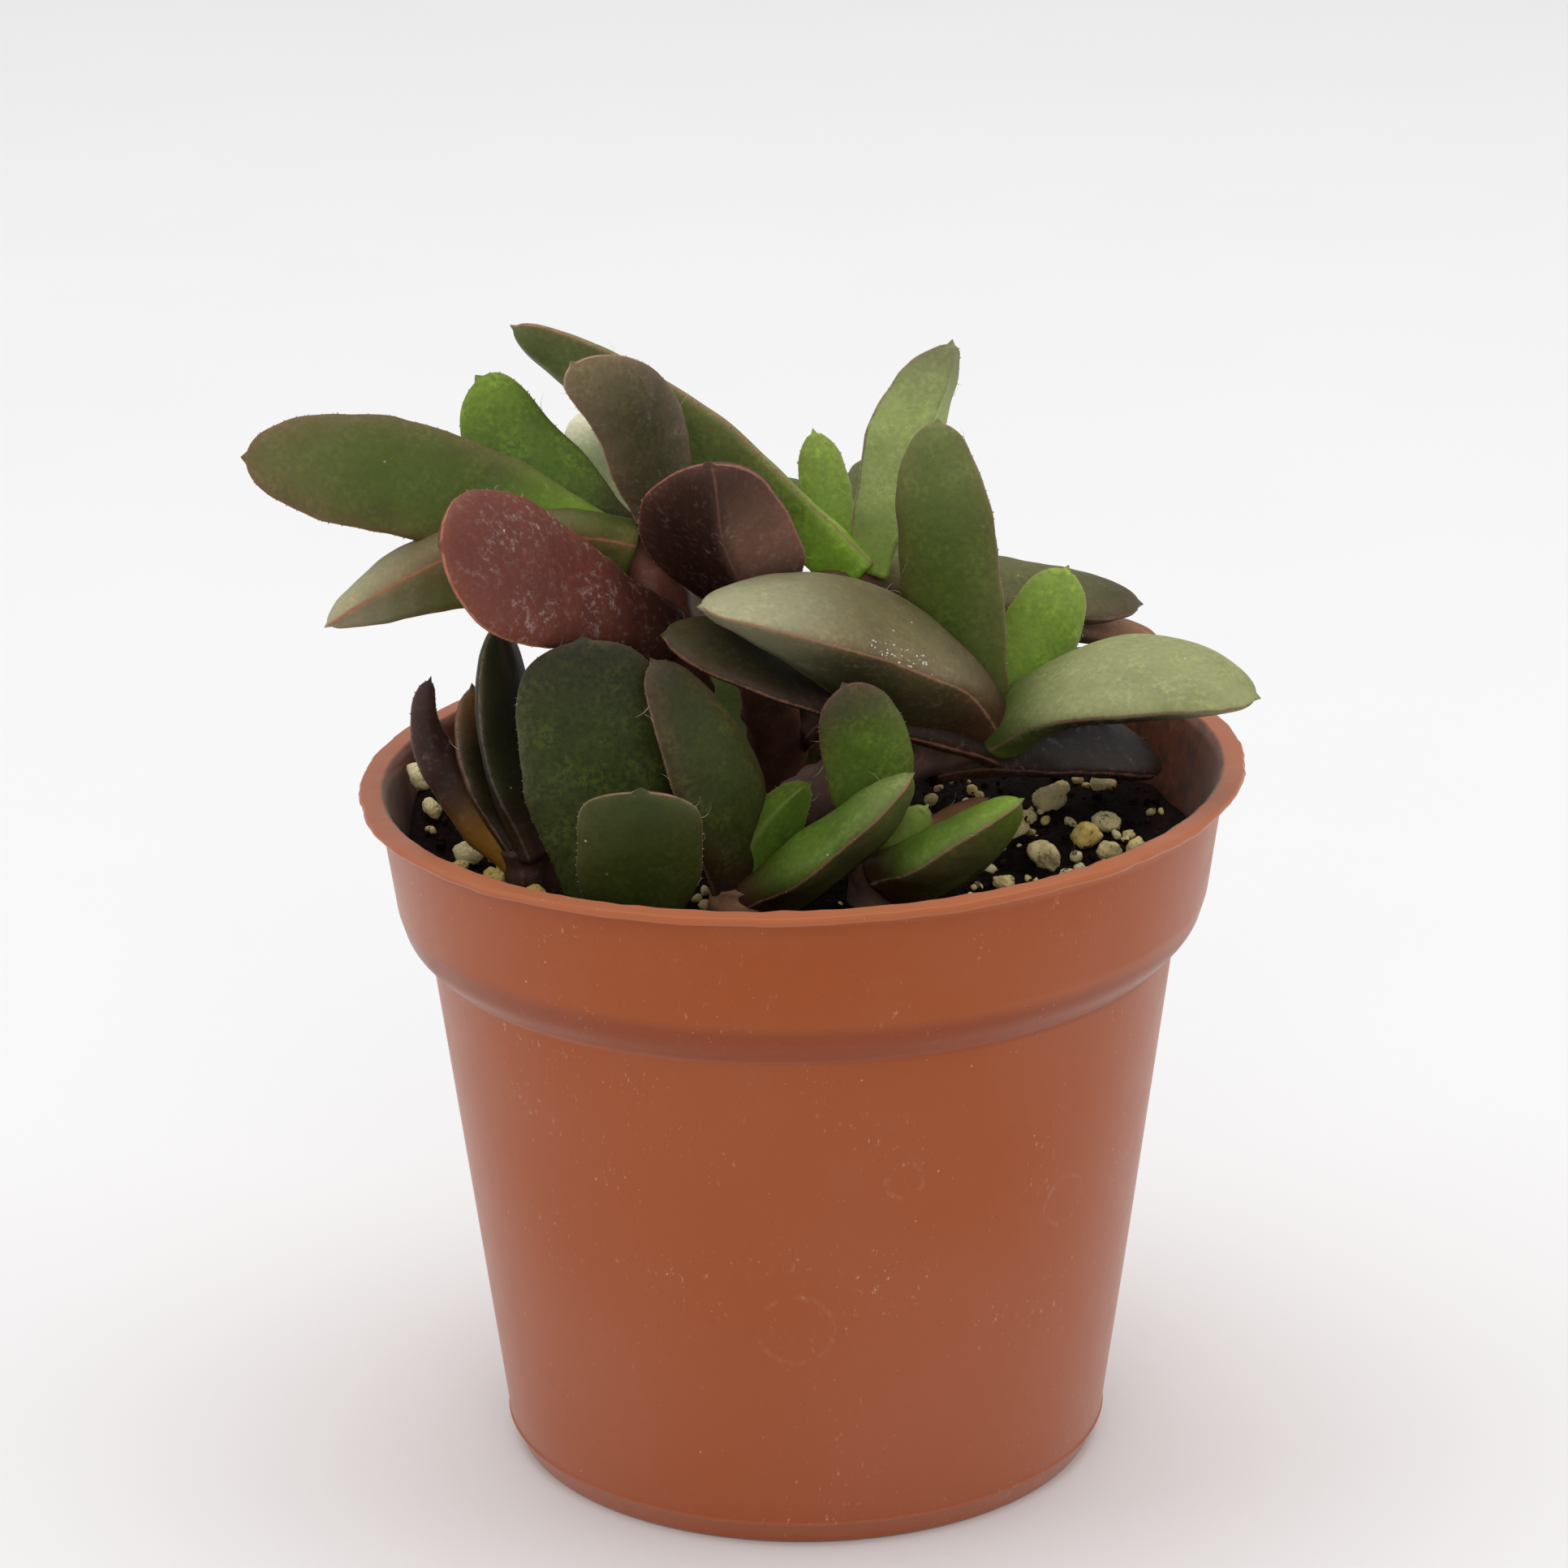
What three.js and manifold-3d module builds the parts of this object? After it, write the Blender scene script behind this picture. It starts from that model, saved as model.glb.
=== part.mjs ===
// A potted gasteria: thick strap leaves on short stems, in a small moulded plastic pot.
// Millimetres, +Z up, origin at the centre of the pot's underside, -Y towards the viewer.
import * as THREE from 'three';
import { mergeVertices } from 'three/addons/utils/BufferGeometryUtils.js';
import Module from 'manifold-3d';

const wasm = await Module();
wasm.setup();

// Pot: a tapered cup with a deep collar and a thin flange round its mouth.
const POT_HEIGHT = 68.5;
const RIM_RADIUS = 42.5;
const FLANGE_WIDTH = 2.2;
const FLANGE_THICKNESS = 0.8;
const WALL = 0.9;
const FLOOR = 1.4;
const BASE_RADIUS = 28.4;
const FOOT_RADIUS = 29.5;
const FOOT_HEIGHT = 2.5;
const BODY_TOP_RADIUS = 36;
const BODY_TOP = 52;
const COLLAR_BOTTOM_RADIUS = 39.1;
const COLLAR_BOTTOM = 56.8;
const COLLAR_TOP_RADIUS = 40.6;
const POT_SEGMENTS = 48;
const RIM_TILT = 0.0275;

// Drain holes in the pot's floor, round its middle.
const DRAIN_HOLES = 6;
const DRAIN_HOLE_RADIUS = 2.6;
const DRAIN_CIRCLE_RADIUS = 18;

// Soil: level of its top, and the gap that it keeps to the pot and to what stands in it.
const SOIL_TOP = 60;
const GAP = 0.3;
const SOIL_SEGMENTS = POT_SEGMENTS;
const HEAP = { x: -36.5, y: 6.5, height: 5, radius: 6.5 };

// Pumice stones that lie where they can be seen: place on the soil, and size across.
const STONES = [
  { x: -36, y: 6.7, size: 3.8 },
  { x: -35.4, y: 1.5, size: 2.6 },
  { x: -32.6, y: -2.6, size: 3.4 },
  { x: -29.3, y: -1.4, size: 3 },
  { x: -28, y: -7.2, size: 3.6 },
  { x: -29.5, y: -11.8, size: 2.6 },
  { x: -25.3, y: -15.5, size: 2.6 },
  { x: 24.3, y: 9.3, size: 4.4 },
  { x: 20.2, y: 1.5, size: 3.8 },
  { x: 19.3, y: -13, size: 2.4 },
  { x: 23.4, y: -7.4, size: 4.9 },
  { x: 27.9, y: -2, size: 3.6 },
  { x: 29.8, y: 3, size: 3.6 },
  { x: 29.4, y: -6.6, size: 3 },
  { x: 32.4, y: -4, size: 3 },
  { x: 30.4, y: 14.7, size: 3 },
];
const LOOSE_STONES = 16;
const STONE_SEED = 11;
const FINE_STONE = 3.5;
const STONE_RISE = 0.16;

// Leaves: a grid of sides round each leaf and rows along it.
const LEAF_SIDES = 12;
const LEAF_ROWS = 9;
const STEM_SIDES = 10;
const STEM_ROWS = 7;
const UPPER_SHARE = 0.35;
const MUCRO = 0.8;

// What a leaf has where its own entry says nothing else. Lengths are in millimetres.
// face: where its upper side looks; arch, sway: how far its middle bends to the face and sideways;
// neck: width at the root as a part of the full width, reached at neckEnd; tipStart, blunt: where the
// tip starts and how round it is; lean: how far the tip leans to one margin; keel, keelAt: how sharp the
// ridge underneath is and where it lies; belly: how much deeper the underside is along its middle.
const PLAIN_LEAF = {
  arch: 0, archAt: 0.5, sway: 0, neck: 0.55, neckEnd: 0.5,
  tipStart: 0.55, blunt: 2.2, lean: 0, keel: 0.5, keelAt: 0.3, belly: 1,
};

// Each shoot: its stem's course with the radius at both ends, and its leaves.
const SHOOTS = {
  shoot_left: {
    color: 0x3f6430,
    stem: { course: [[-9, 4, 48], [-10, 2, 66], [-12.5, 0, 80], [-15.8, 3.5, 91]], radii: [2.6, 3.7] },
    leaves: [
      { root: [-16.2, 0, 89.5], tip: [-51.5, -5, 101.5], face: [0.1, -0.85, 0.5], width: 11,
        thick: 5, sway: 1.5, blunt: 2.6, tipStart: 0.6, lean: -0.1, neck: 0.5 },
      { root: [-16.5, 3.5, 90], tip: [-32, 9, 103.5], face: [0.2, -0.9, 0.3], width: 8.5,
        thick: 4, sway: -0.7, blunt: 3, tipStart: 0.6, lean: 0.45 },
      { root: [-16, 4, 89], tip: [-20.5, 16, 99.5], face: [0.2, -0.9, 0.3], width: 8, thick: 4 },
      { root: [-12.5, 1, 90], tip: [-18.5, -4, 111.5], face: [0.3, -0.8, 0.5], width: 8.8,
        thick: 4.2, sway: 1.4, blunt: 2.4, tipStart: 0.5, lean: -0.75 },
      { root: [-12.5, -2.5, 82.5], tip: [-32.5, -20, 96.5], face: [-0.15, -0.75, 0.6], width: 14.6,
        thick: 6.5, sway: 0.8, blunt: 3.2, tipStart: 0.58, neck: 0.4, neckEnd: 0.75 },
      { root: [-16, 0, 91], tip: [-44.2, -8, 85.6], face: [0.1, 0.13, 0.98], width: 8.4,
        thick: 6.2, arch: 4.1, blunt: 1.6, tipStart: 0.3, keel: 0.8, keelAt: -0.5, belly: 1.8 },
      { root: [-15.5, 4, 89.5], tip: [-30, 25, 90], face: [-0.1, 0.2, 0.95], width: 9, thick: 4.5, arch: 2 },
      { root: [-14.5, 4, 90], tip: [-17, 27, 96.5], face: [-0.1, -0.3, 0.9], width: 8, thick: 4, arch: 1 },
      { root: [-11, 1.5, 72], tip: [-27, 16, 72], face: [-0.2, 0.2, 0.95], width: 9.5, thick: 4.5, arch: 2 },
      { root: [-9.5, 3.5, 63], tip: [-22, 14, 66.5], face: [-0.2, -0.1, 0.95], width: 9,
        thick: 4.5, arch: 1 },
    ],
  },
  shoot_middle: {
    color: 0x35582c,
    stem: { course: [[-1, 9, 48], [-2, 7, 66], [-2.5, 2, 79.5], [6, 6.5, 86]], radii: [2.5, 3] },
    leaves: [
      { root: [6, 5, 86], tip: [-27, 10, 109.5], face: [0.41, 0.71, 0.57], width: 10,
        thick: 4.2, arch: 1.6, blunt: 2.4 },
      { root: [4.5, 8.5, 85.5], tip: [1.5, 13, 98], face: [0, -1, 0.2], width: 4.5, thick: 3 },
      { root: [6.5, 5, 86.5], tip: [12.3, 8, 108.4], face: [-0.3, 0.9, 0.2], width: 7.5,
        thick: 5, sway: -0.2, lean: -0.7, keel: 0.9, keelAt: -0.3 },
      { root: [-3, 1, 82], tip: [-11, -11, 101.3], face: [0.23, 0.87, 0.4], width: 15.2,
        thick: 7.3, neck: 0.38, blunt: 2.6, lean: -0.4, keel: 0.95, keelAt: -0.3 },
      { root: [6, 6, 85.5], tip: [33, 12, 80.9], face: [0.1, -0.4, 0.9], width: 7.5,
        thick: 4.5, arch: 0.6 },
      { root: [7, 7, 85.5], tip: [35, 14, 76.7], face: [0.1, -0.3, 0.9], width: 4.2,
        thick: 3.6, blunt: 4, tipStart: 0.8 },
      { root: [5, 8, 86], tip: [-7, 31, 88], face: [0.2, -0.3, 0.9], width: 9.5, thick: 4.5, arch: 2 },
      { root: [6.3, 6.8, 85.2], tip: [12, 36, 89], face: [0, -0.3, 0.9], width: 10, thick: 4.5, arch: 3 },
      { root: [6.5, 6.5, 85], tip: [22, 27, 77], face: [-0.2, -0.2, 0.9], width: 9, thick: 4.5, arch: 3 },
      { root: [-2, 5, 72.5], tip: [-10, 27, 81], face: [0.1, -0.4, 0.9], width: 9, thick: 4.5, arch: 1.5 },
      { root: [-1.5, 6, 70], tip: [15, 23, 74], face: [-0.2, -0.2, 0.9], width: 9.5, thick: 4.5, arch: 2 },
    ],
  },
  shoot_right: {
    color: 0x466b35,
    stem: { course: [[-4, 1, 48], [-2.5, -1, 62], [5, -2.5, 68.5], [18.5, -3.5, 74]], radii: [2.2, 3.2] },
    leaves: [
      { root: [17, -4, 74], tip: [13, -6, 104], face: [-0.15, -0.95, 0.2], width: 9.2,
        thick: 4.5, sway: -0.9, neck: 0.75 },
      { root: [18.5, -6, 74.2], tip: [-9, -16.6, 89.6], face: [0.25, -0.22, 0.93], width: 12.4,
        thick: 5.5, arch: 5.3, archAt: 0.42, neck: 0.4, neckEnd: 0.45, keel: 0.85, keelAt: -0.5,
        belly: 2.5 },
      { root: [18.5, -5, 74], tip: [42.5, -12, 79], face: [-0.1, -0.3, 0.95], width: 12,
        thick: 5, arch: 4, neck: 0.7 },
      { root: [19, -2, 73.5], tip: [25.5, 3, 87], face: [0.2, -0.9, 0.3], width: 7.3,
        thick: 3.5, blunt: 2.6 },
      { root: [12, -2, 70], tip: [35, 10, 65.5], face: [0, -0.4, 0.9], width: 10.5, thick: 4.5, arch: 2.5 },
      { root: [18.5, -5.5, 72.5], tip: [-12.5, -13, 85.7], face: [0.2, -0.35, 0.9], width: 11,
        thick: 5, arch: 1 },
      { root: [18, -2, 73], tip: [33, 20, 73], face: [-0.2, -0.2, 0.9], width: 8.5, thick: 4, arch: 2 },
    ],
  },
  shoot_front_left: {
    color: 0x2d4a26,
    stem: {
      course: [[-16.5, -24, 48], [-16.5, -24, 53], [-16.5, -24, 57], [-16.5, -24, 62]],
      radii: [3, 4.6],
    },
    leaves: [
      { root: [-17.5, -20.5, 60.5], tip: [-20, -17, 86.5], face: [0.05, -0.98, 0.15], width: 13.7,
        thick: 5.5, blunt: 3.6, tipStart: 0.65 },
      { root: [-15.2, -27.5, 61], tip: [-14.5, -31, 76.5], face: [0, -1, 0.15], width: 11.3,
        thick: 5, blunt: 4.5, tipStart: 0.66 },
    ],
  },
  shoot_left_edge: {
    color: 0x3a3a26,
    stem: { course: [[-24.5, -9, 48], [-24.7, -9, 53], [-25, -9, 58], [-25.8, -9, 64]], radii: [2.2, 3] },
    leaves: [
      { root: [-25, -9, 61.5], tip: [-35.9, -5, 79.2], face: [0.3, -0.9, 0.3], width: 5.9,
        thick: 4.2, sway: -2.7, archAt: 0.78, neck: 0.8, neckEnd: 0.3, blunt: 0.58, tipStart: 0.2,
        lean: 0.3 },
      { root: [-26.5, -9, 63.5], tip: [-31, -6, 78.5], face: [0.85, -0.45, 0.2], width: 8,
        thick: 4, arch: -1 },
      { root: [-24.5, -10, 63.5], tip: [-28.5, -8, 85], face: [0.9, -0.3, 0.2], width: 12,
        thick: 5, arch: -1 },
    ],
  },
  shoot_front: {
    color: 0x42682f,
    stem: {
      course: [[-6, -18.5, 48], [-6, -18.5, 53], [-5.9, -18.8, 58], [-5.8, -19, 63.5]],
      radii: [2.2, 3],
    },
    leaves: [
      { root: [-6, -18, 61.5], tip: [-13.5, -19.5, 85.2], face: [0.55, -0.75, 0.35], width: 9.8,
        thick: 5, arch: 3.2, blunt: 1.9, tipStart: 0.4 },
      { root: [-5.4, -18, 61.5], tip: [0.6, -19, 73], face: [0.1, 0.9, -0.2], width: 6.6,
        thick: 5, sway: 0.8, blunt: 1.4, tipStart: 0.3, keel: 0.95 },
      { root: [-5.5, -20, 61.8], tip: [10, -24, 75.5], face: [-0.5, -0.12, 0.86], width: 9,
        thick: 6, sway: 1, neck: 0.3, blunt: 1.5, tipStart: 0.3, keel: 0.9, keelAt: -0.3,
        belly: 1.2 },
    ],
  },
  shoot_front_right: {
    color: 0x4a7436,
    stem: { course: [[6.5, -15, 48], [6.5, -15, 53], [7, -16, 58], [7.4, -17.2, 65.5]], radii: [2.2, 3] },
    leaves: [
      { root: [7.5, -16, 65.5], tip: [4, -20.5, 83], face: [0.2, -0.95, 0.3], width: 8.5,
        thick: 4.5, sway: 0.6 },
      { root: [7.5, -18, 64.5], tip: [11.5, -20, 71], face: [0.1, -0.9, 0.3], width: 4, thick: 3 },
      { root: [7, -19.5, 64], tip: [20, -24, 73], face: [-0.3, 0.05, 0.95], width: 9.4,
        thick: 6, sway: 1, neck: 0.3, blunt: 1.5, tipStart: 0.3, keel: 0.9, keelAt: -0.3,
        belly: 1.3 },
      { root: [8, -15.5, 64], tip: [17.5, -6, 67], face: [0, -0.5, 0.8], width: 3, thick: 2 },
    ],
  },
  shoot_back: {
    color: 0x34522c,
    stem: { course: [[-8, 20, 48], [-8, 20, 53], [-8, 20, 57], [-8, 20, 62.5]], radii: [2.4, 3.4] },
    leaves: [
      { root: [-10, 20, 61], tip: [-22, 27, 78], face: [0.7, -0.3, 0.5], width: 10, thick: 4.5, arch: -1 },
      { root: [-8, 21, 61], tip: [-6, 31, 70], face: [0.1, -0.9, 0.4], width: 9, thick: 4.5, arch: -1 },
      { root: [-6, 19, 61], tip: [5, 25, 69], face: [-0.8, -0.2, 0.5], width: 9, thick: 4.5, arch: -1 },
    ],
  },
};

// The moulding is a little out of true: its mouth stands higher on the right than on the left.
function settle(x, z) {
  return z + RIM_TILT * x * (z / POT_HEIGHT) ** 2;
}

// Moves each vertex of a geometry to where place(point) puts it.
function reshape(geometry, place) {
  const position = geometry.getAttribute('position');
  const point = new THREE.Vector3();
  for (let i = 0; i < position.count; i += 1) {
    point.fromBufferAttribute(position, i);
    place(point, i);
    position.setXYZ(i, point.x, point.y, point.z);
  }
  return geometry;
}

// A closed skin on a sphere's grid: place(along, turn, point) sets each point, with along from 0 at one
// pole to 1 at the other, and turn from 0 to a full circle.
function skin(sides, rows, place) {
  const geometry = new THREE.SphereGeometry(1, sides, rows);
  const uv = geometry.getAttribute('uv');
  return reshape(geometry, (point, i) => {
    place(1 - uv.getY(i), uv.getX(i) * 2 * Math.PI, point);
  });
}

// The closed body that a geometry's surface bounds, with its faces turned outwards.
function toSolid(geometry) {
  const bare = geometry.clone();
  bare.deleteAttribute('normal');
  bare.deleteAttribute('uv');
  const merged = mergeVertices(bare, 1e-4);
  const triVerts = new Uint32Array(merged.index.array);
  const vertProperties = new Float32Array(merged.getAttribute('position').array);
  const solid = new wasm.Manifold(new wasm.Mesh({ numProp: 3, vertProperties, triVerts }));
  if (solid.volume() > 0) {
    return solid;
  }
  const turned = triVerts.map((_, i) => triVerts[i - (i % 3) + 2 - (i % 3)]);
  return new wasm.Manifold(new wasm.Mesh({ numProp: 3, vertProperties, triVerts: turned }));
}

function toMesh(solid, name, material) {
  const { vertProperties, triVerts } = solid.getMesh();
  const geometry = new THREE.BufferGeometry();
  geometry.setAttribute('position', new THREE.BufferAttribute(vertProperties, 3));
  geometry.setIndex(new THREE.BufferAttribute(triVerts, 1));
  geometry.computeVertexNormals();
  const mesh = new THREE.Mesh(geometry, new THREE.MeshStandardMaterial(material));
  mesh.name = name;
  return mesh;
}

// LatheGeometry turns a profile about Y; the part's upright axis is Z.
function turned(profile, segments) {
  const points = profile.map(([radius, height]) => new THREE.Vector2(radius, height));
  return new THREE.LatheGeometry(points, segments).rotateX(Math.PI / 2);
}

// The pot's outside from the foot up to the flange, as radius and height.
function outerProfile() {
  return [
    [BASE_RADIUS, 0],
    [FOOT_RADIUS, FOOT_HEIGHT],
    [(FOOT_RADIUS + BODY_TOP_RADIUS) / 2, (FOOT_HEIGHT + BODY_TOP) / 2],
    [BODY_TOP_RADIUS, BODY_TOP],
    [BODY_TOP_RADIUS + 0.8, BODY_TOP + 0.6],
    [BODY_TOP_RADIUS + 2.3, BODY_TOP + 2.2],
    [COLLAR_BOTTOM_RADIUS, COLLAR_BOTTOM],
    [COLLAR_TOP_RADIUS, POT_HEIGHT - FLANGE_THICKNESS - 0.3],
  ];
}

// The pot's inside, a wall's thickness in, from the floor up to the mouth.
function innerProfile(clearance) {
  const inset = WALL + clearance;
  return [
    [BASE_RADIUS - inset, FLOOR + clearance],
    [BODY_TOP_RADIUS - inset, BODY_TOP],
    [BODY_TOP_RADIUS + 1.6 - inset, BODY_TOP + 1.9],
    [COLLAR_BOTTOM_RADIUS - inset, COLLAR_BOTTOM + 0.6],
  ];
}

function buildPot() {
  const mouth = RIM_RADIUS - FLANGE_WIDTH;
  const profile = [
    [0, 0],
    ...outerProfile(),
    [RIM_RADIUS - 0.2, POT_HEIGHT - FLANGE_THICKNESS],
    [RIM_RADIUS, POT_HEIGHT - FLANGE_THICKNESS / 2],
    [RIM_RADIUS - 0.2, POT_HEIGHT],
    [mouth, POT_HEIGHT],
    [mouth - 0.5, POT_HEIGHT - 0.7],
    ...innerProfile(0).reverse(),
    [0, FLOOR],
  ];
  const shell = turned(profile, POT_SEGMENTS);
  reshape(shell, (point) => {
    point.z = settle(point.x, point.z);
  });
  let pot = toSolid(shell);
  for (let i = 0; i < DRAIN_HOLES; i += 1) {
    const angle = ((i + 0.5) / DRAIN_HOLES) * 2 * Math.PI;
    const drill = new THREE.CylinderGeometry(DRAIN_HOLE_RADIUS, DRAIN_HOLE_RADIUS, 4 * FLOOR, 16);
    drill.rotateX(Math.PI / 2);
    drill.translate(DRAIN_CIRCLE_RADIUS * Math.cos(angle), DRAIN_CIRCLE_RADIUS * Math.sin(angle), 0);
    pot = pot.subtract(toSolid(drill));
  }
  return pot;
}

// How far the soil's surface rises above its level at a place: soft waves, and a heap against the wall.
function soilRise(x, y) {
  const waves = 0.35 * Math.sin(0.31 * x + 1) * Math.cos(0.27 * y) + 0.25 * Math.sin(0.6 * y - 0.4 * x);
  const away = Math.hypot(x - HEAP.x, y - HEAP.y) / HEAP.radius;
  return waves + HEAP.height * Math.exp(-away * away);
}

// The column of soil, its surface raised by lift.
function buildSoil(lift) {
  const wall = innerProfile(GAP);
  const edge = wall[wall.length - 1][0];
  const rings = [1, 0.97, 0.92, 0.82, 0.66, 0.48, 0.28, 0];
  const top = rings.map((share) => [edge * share, SOIL_TOP]);
  const column = turned([[0, FLOOR + GAP], ...wall, ...top], SOIL_SEGMENTS);
  reshape(column, (point) => {
    const surface = point.z > SOIL_TOP - 0.01;
    point.z = settle(point.x, point.z);
    if (surface) {
      point.z += lift + soilRise(point.x, point.y);
    }
  });
  return toSolid(column);
}

// A seeded draw of numbers from 0 to 1.
function makeRandom(seed) {
  let state = seed;
  return () => {
    state = (state * 1664525 + 1013904223) % 4294967296;
    return state / 4294967296;
  };
}

// A lumpy pumice stone: a rounded block with its corners pushed in and out by waves.
function buildStone({ x, y, size }, random) {
  const shape = [1, 0.7 + 0.3 * random(), 0.65 + 0.25 * random()];
  const turn = new THREE.Euler(random() * 1.2, random() * 1.2, random() * 6);
  const phase = random() * 6;
  const stone = new THREE.IcosahedronGeometry(1, size > FINE_STONE ? 1 : 0);
  reshape(stone, (point) => {
    const lump = 1 + 0.16 * Math.sin(3.1 * point.x + phase) * Math.cos(2.7 * point.y - phase);
    point.multiplyScalar((lump * size) / 2);
    point.set(point.x * shape[0], point.y * shape[1], point.z * shape[2]);
    point.applyEuler(turn);
  });
  stone.translate(x, y, settle(x, SOIL_TOP) + soilRise(x, y) + STONE_RISE * size);
  return toSolid(stone);
}

// Where a leaf is at a part of its length: centre, direction, and the ways across and up; and how wide,
// thick and deep it is there.
function leafStation(leaf, curve, face, along) {
  const heading = curve.getTangent(along);
  const up = face.clone().addScaledVector(heading, -face.dot(heading)).normalize();
  const across = new THREE.Vector3().crossVectors(heading, up);
  const tipPart = THREE.MathUtils.clamp((along - leaf.tipStart) / (1 - leaf.tipStart), 0, 1);
  const neck = leaf.neck + (1 - leaf.neck) * THREE.MathUtils.smoothstep(along, 0, leaf.neckEnd);
  const thinning = THREE.MathUtils.clamp((along - 0.6) / 0.4, 0, 1);
  const centre = curve.getPoint(along);
  centre.addScaledVector(across, leaf.lean * (leaf.width / 2) * tipPart ** 2.2);
  return {
    centre,
    heading,
    up,
    across,
    half: (leaf.width / 2) * neck * Math.sqrt(1 - tipPart ** leaf.blunt) + 0.12,
    thick: leaf.thick * (1 - 0.28 * along) * Math.sqrt(1 - thinning ** 2.6) + 0.15,
    depth: 1 + (leaf.belly - 1) * Math.sin(Math.PI * along ** 0.7),
  };
}

// A point of a leaf's cross-section, as parts of its half width and thickness: flat above and rounded
// or keeled below, meeting in a sharp margin on each side.
function leafSection(leaf, turn) {
  const across = Math.cos(turn);
  const round = Math.sin(turn);
  if (round >= 0) {
    return [across, UPPER_SHARE * round ** 0.9];
  }
  const x = across + leaf.keelAt * round * round;
  const ridge = x < leaf.keelAt ? (1 + x) / (1 + leaf.keelAt) : (1 - x) / (1 - leaf.keelAt);
  const depth = (1 - leaf.keel) * Math.abs(round) ** 0.8 + leaf.keel * ridge;
  return [x, -(1 - UPPER_SHARE) * depth];
}

function buildLeaf(entry) {
  const leaf = { ...PLAIN_LEAF, ...entry };
  const root = new THREE.Vector3(...leaf.root);
  const tip = new THREE.Vector3(...leaf.tip);
  const axis = tip.clone().sub(root).normalize();
  const face = new THREE.Vector3(...leaf.face);
  face.addScaledVector(axis, -face.dot(axis)).normalize();
  const side = new THREE.Vector3().crossVectors(axis, face);
  const middle = root.clone().lerp(tip, leaf.archAt);
  middle.addScaledVector(face, 2 * leaf.arch).addScaledVector(side, 2 * leaf.sway);
  const curve = new THREE.QuadraticBezierCurve3(root, middle, tip);
  const last = leafStation(leaf, curve, face, 0.995);
  const blade = skin(LEAF_SIDES, LEAF_ROWS, (along, turn, point) => {
    const row = Math.round(along * LEAF_ROWS);
    if (row === 0) {
      point.copy(root);
    } else if (row === LEAF_ROWS) {
      point.copy(last.centre).addScaledVector(last.heading, MUCRO);
    } else {
      const step = (row - 1) / (LEAF_ROWS - 2);
      const station = leafStation(leaf, curve, face, Math.min(1 - (1 - step) ** 1.25, 0.995));
      const [x, y] = leafSection(leaf, turn);
      const lift = station.thick * (y < 0 ? y * station.depth : y);
      point.copy(station.centre);
      point.addScaledVector(station.across, station.half * x).addScaledVector(station.up, lift);
    }
  });
  return toSolid(blade);
}

// A stem: a round rod along its course that widens to its upper end, grown all over by swell.
function buildStem({ course, radii }, swell) {
  const curve = new THREE.CatmullRomCurve3(course.map((place) => new THREE.Vector3(...place)));
  const start = curve.getTangent(0);
  const end = curve.getTangent(1);
  const rod = skin(STEM_SIDES, STEM_ROWS, (along, turn, point) => {
    const row = Math.round(along * STEM_ROWS);
    if (row === 0) {
      point.copy(curve.getPoint(0)).addScaledVector(start, -swell);
    } else if (row === STEM_ROWS) {
      point.copy(curve.getPoint(1)).addScaledVector(end, 1 + swell);
    } else {
      const step = (row - 1) / (STEM_ROWS - 2);
      const heading = curve.getTangent(step);
      const across = new THREE.Vector3(0, 1, 0).cross(heading).normalize();
      const up = new THREE.Vector3().crossVectors(heading, across);
      const radius = radii[0] + (radii[1] - radii[0]) * step + swell;
      point.copy(curve.getPoint(step)).addScaledVector(heading, row === 1 ? -swell : 0);
      point.addScaledVector(across, radius * Math.cos(turn)).addScaledVector(up, radius * Math.sin(turn));
    }
  });
  return toSolid(rod);
}

function buildShoot({ stem, leaves }, ground) {
  const crown = leaves.map(buildLeaf).reduce((joined, leaf) => joined.add(leaf));
  return crown.subtract(ground).add(buildStem(stem, 0));
}

// The soil with a plain hole round each stem, and with the stones that keep clear of the plant.
function buildBed(shoots) {
  const random = makeRandom(STONE_SEED);
  let bed = buildSoil(0);
  for (const { stem } of Object.values(SHOOTS)) {
    bed = bed.subtract(buildStem(stem, GAP));
  }
  const plant = shoots.reduce((joined, shoot) => joined.add(shoot));
  const laid = [...STONES];
  while (laid.length < STONES.length + LOOSE_STONES) {
    const angle = random() * 2 * Math.PI;
    const reach = 35.5 * Math.sqrt(random());
    const spot = { x: reach * Math.cos(angle), y: reach * Math.sin(angle), size: 2 + 2 * random() };
    const free = laid.every((other) => Math.hypot(other.x - spot.x, other.y - spot.y) > 3.4);
    if (free) {
      laid.push(spot);
    }
  }
  for (const spot of laid) {
    const stone = buildStone(spot, random);
    const room = buildStone({ ...spot, size: spot.size + 1.2 }, makeRandom(1));
    if (plant.intersect(room).isEmpty()) {
      bed = bed.add(stone);
    }
  }
  return bed;
}

const ground = buildSoil(GAP);
const shootNames = Object.keys(SHOOTS);
const shoots = shootNames.map((name) => buildShoot(SHOOTS[name], ground));

const potMaterial = { color: 0xa3562f, roughness: 0.5, metalness: 0 };
const soilMaterial = { color: 0x3a2a20, roughness: 0.95, metalness: 0 };

const plant = new THREE.Group();
plant.add(toMesh(buildPot(), 'pot', potMaterial));
plant.add(toMesh(buildBed(shoots), 'soil', soilMaterial));
shootNames.forEach((name, i) => {
  plant.add(toMesh(shoots[i], name, { color: SHOOTS[name].color, roughness: 0.6, metalness: 0 }));
});

export default plant;
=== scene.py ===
"""A young gasteria in its nursery pot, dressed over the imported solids.

Shapes are worked out in millimetres and colours are given as sRGB 0-255. Both are turned into
Blender's metres and linear colours where they enter a mesh or a material.
"""
import logging
from dataclasses import dataclass, field
from enum import Enum

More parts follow.
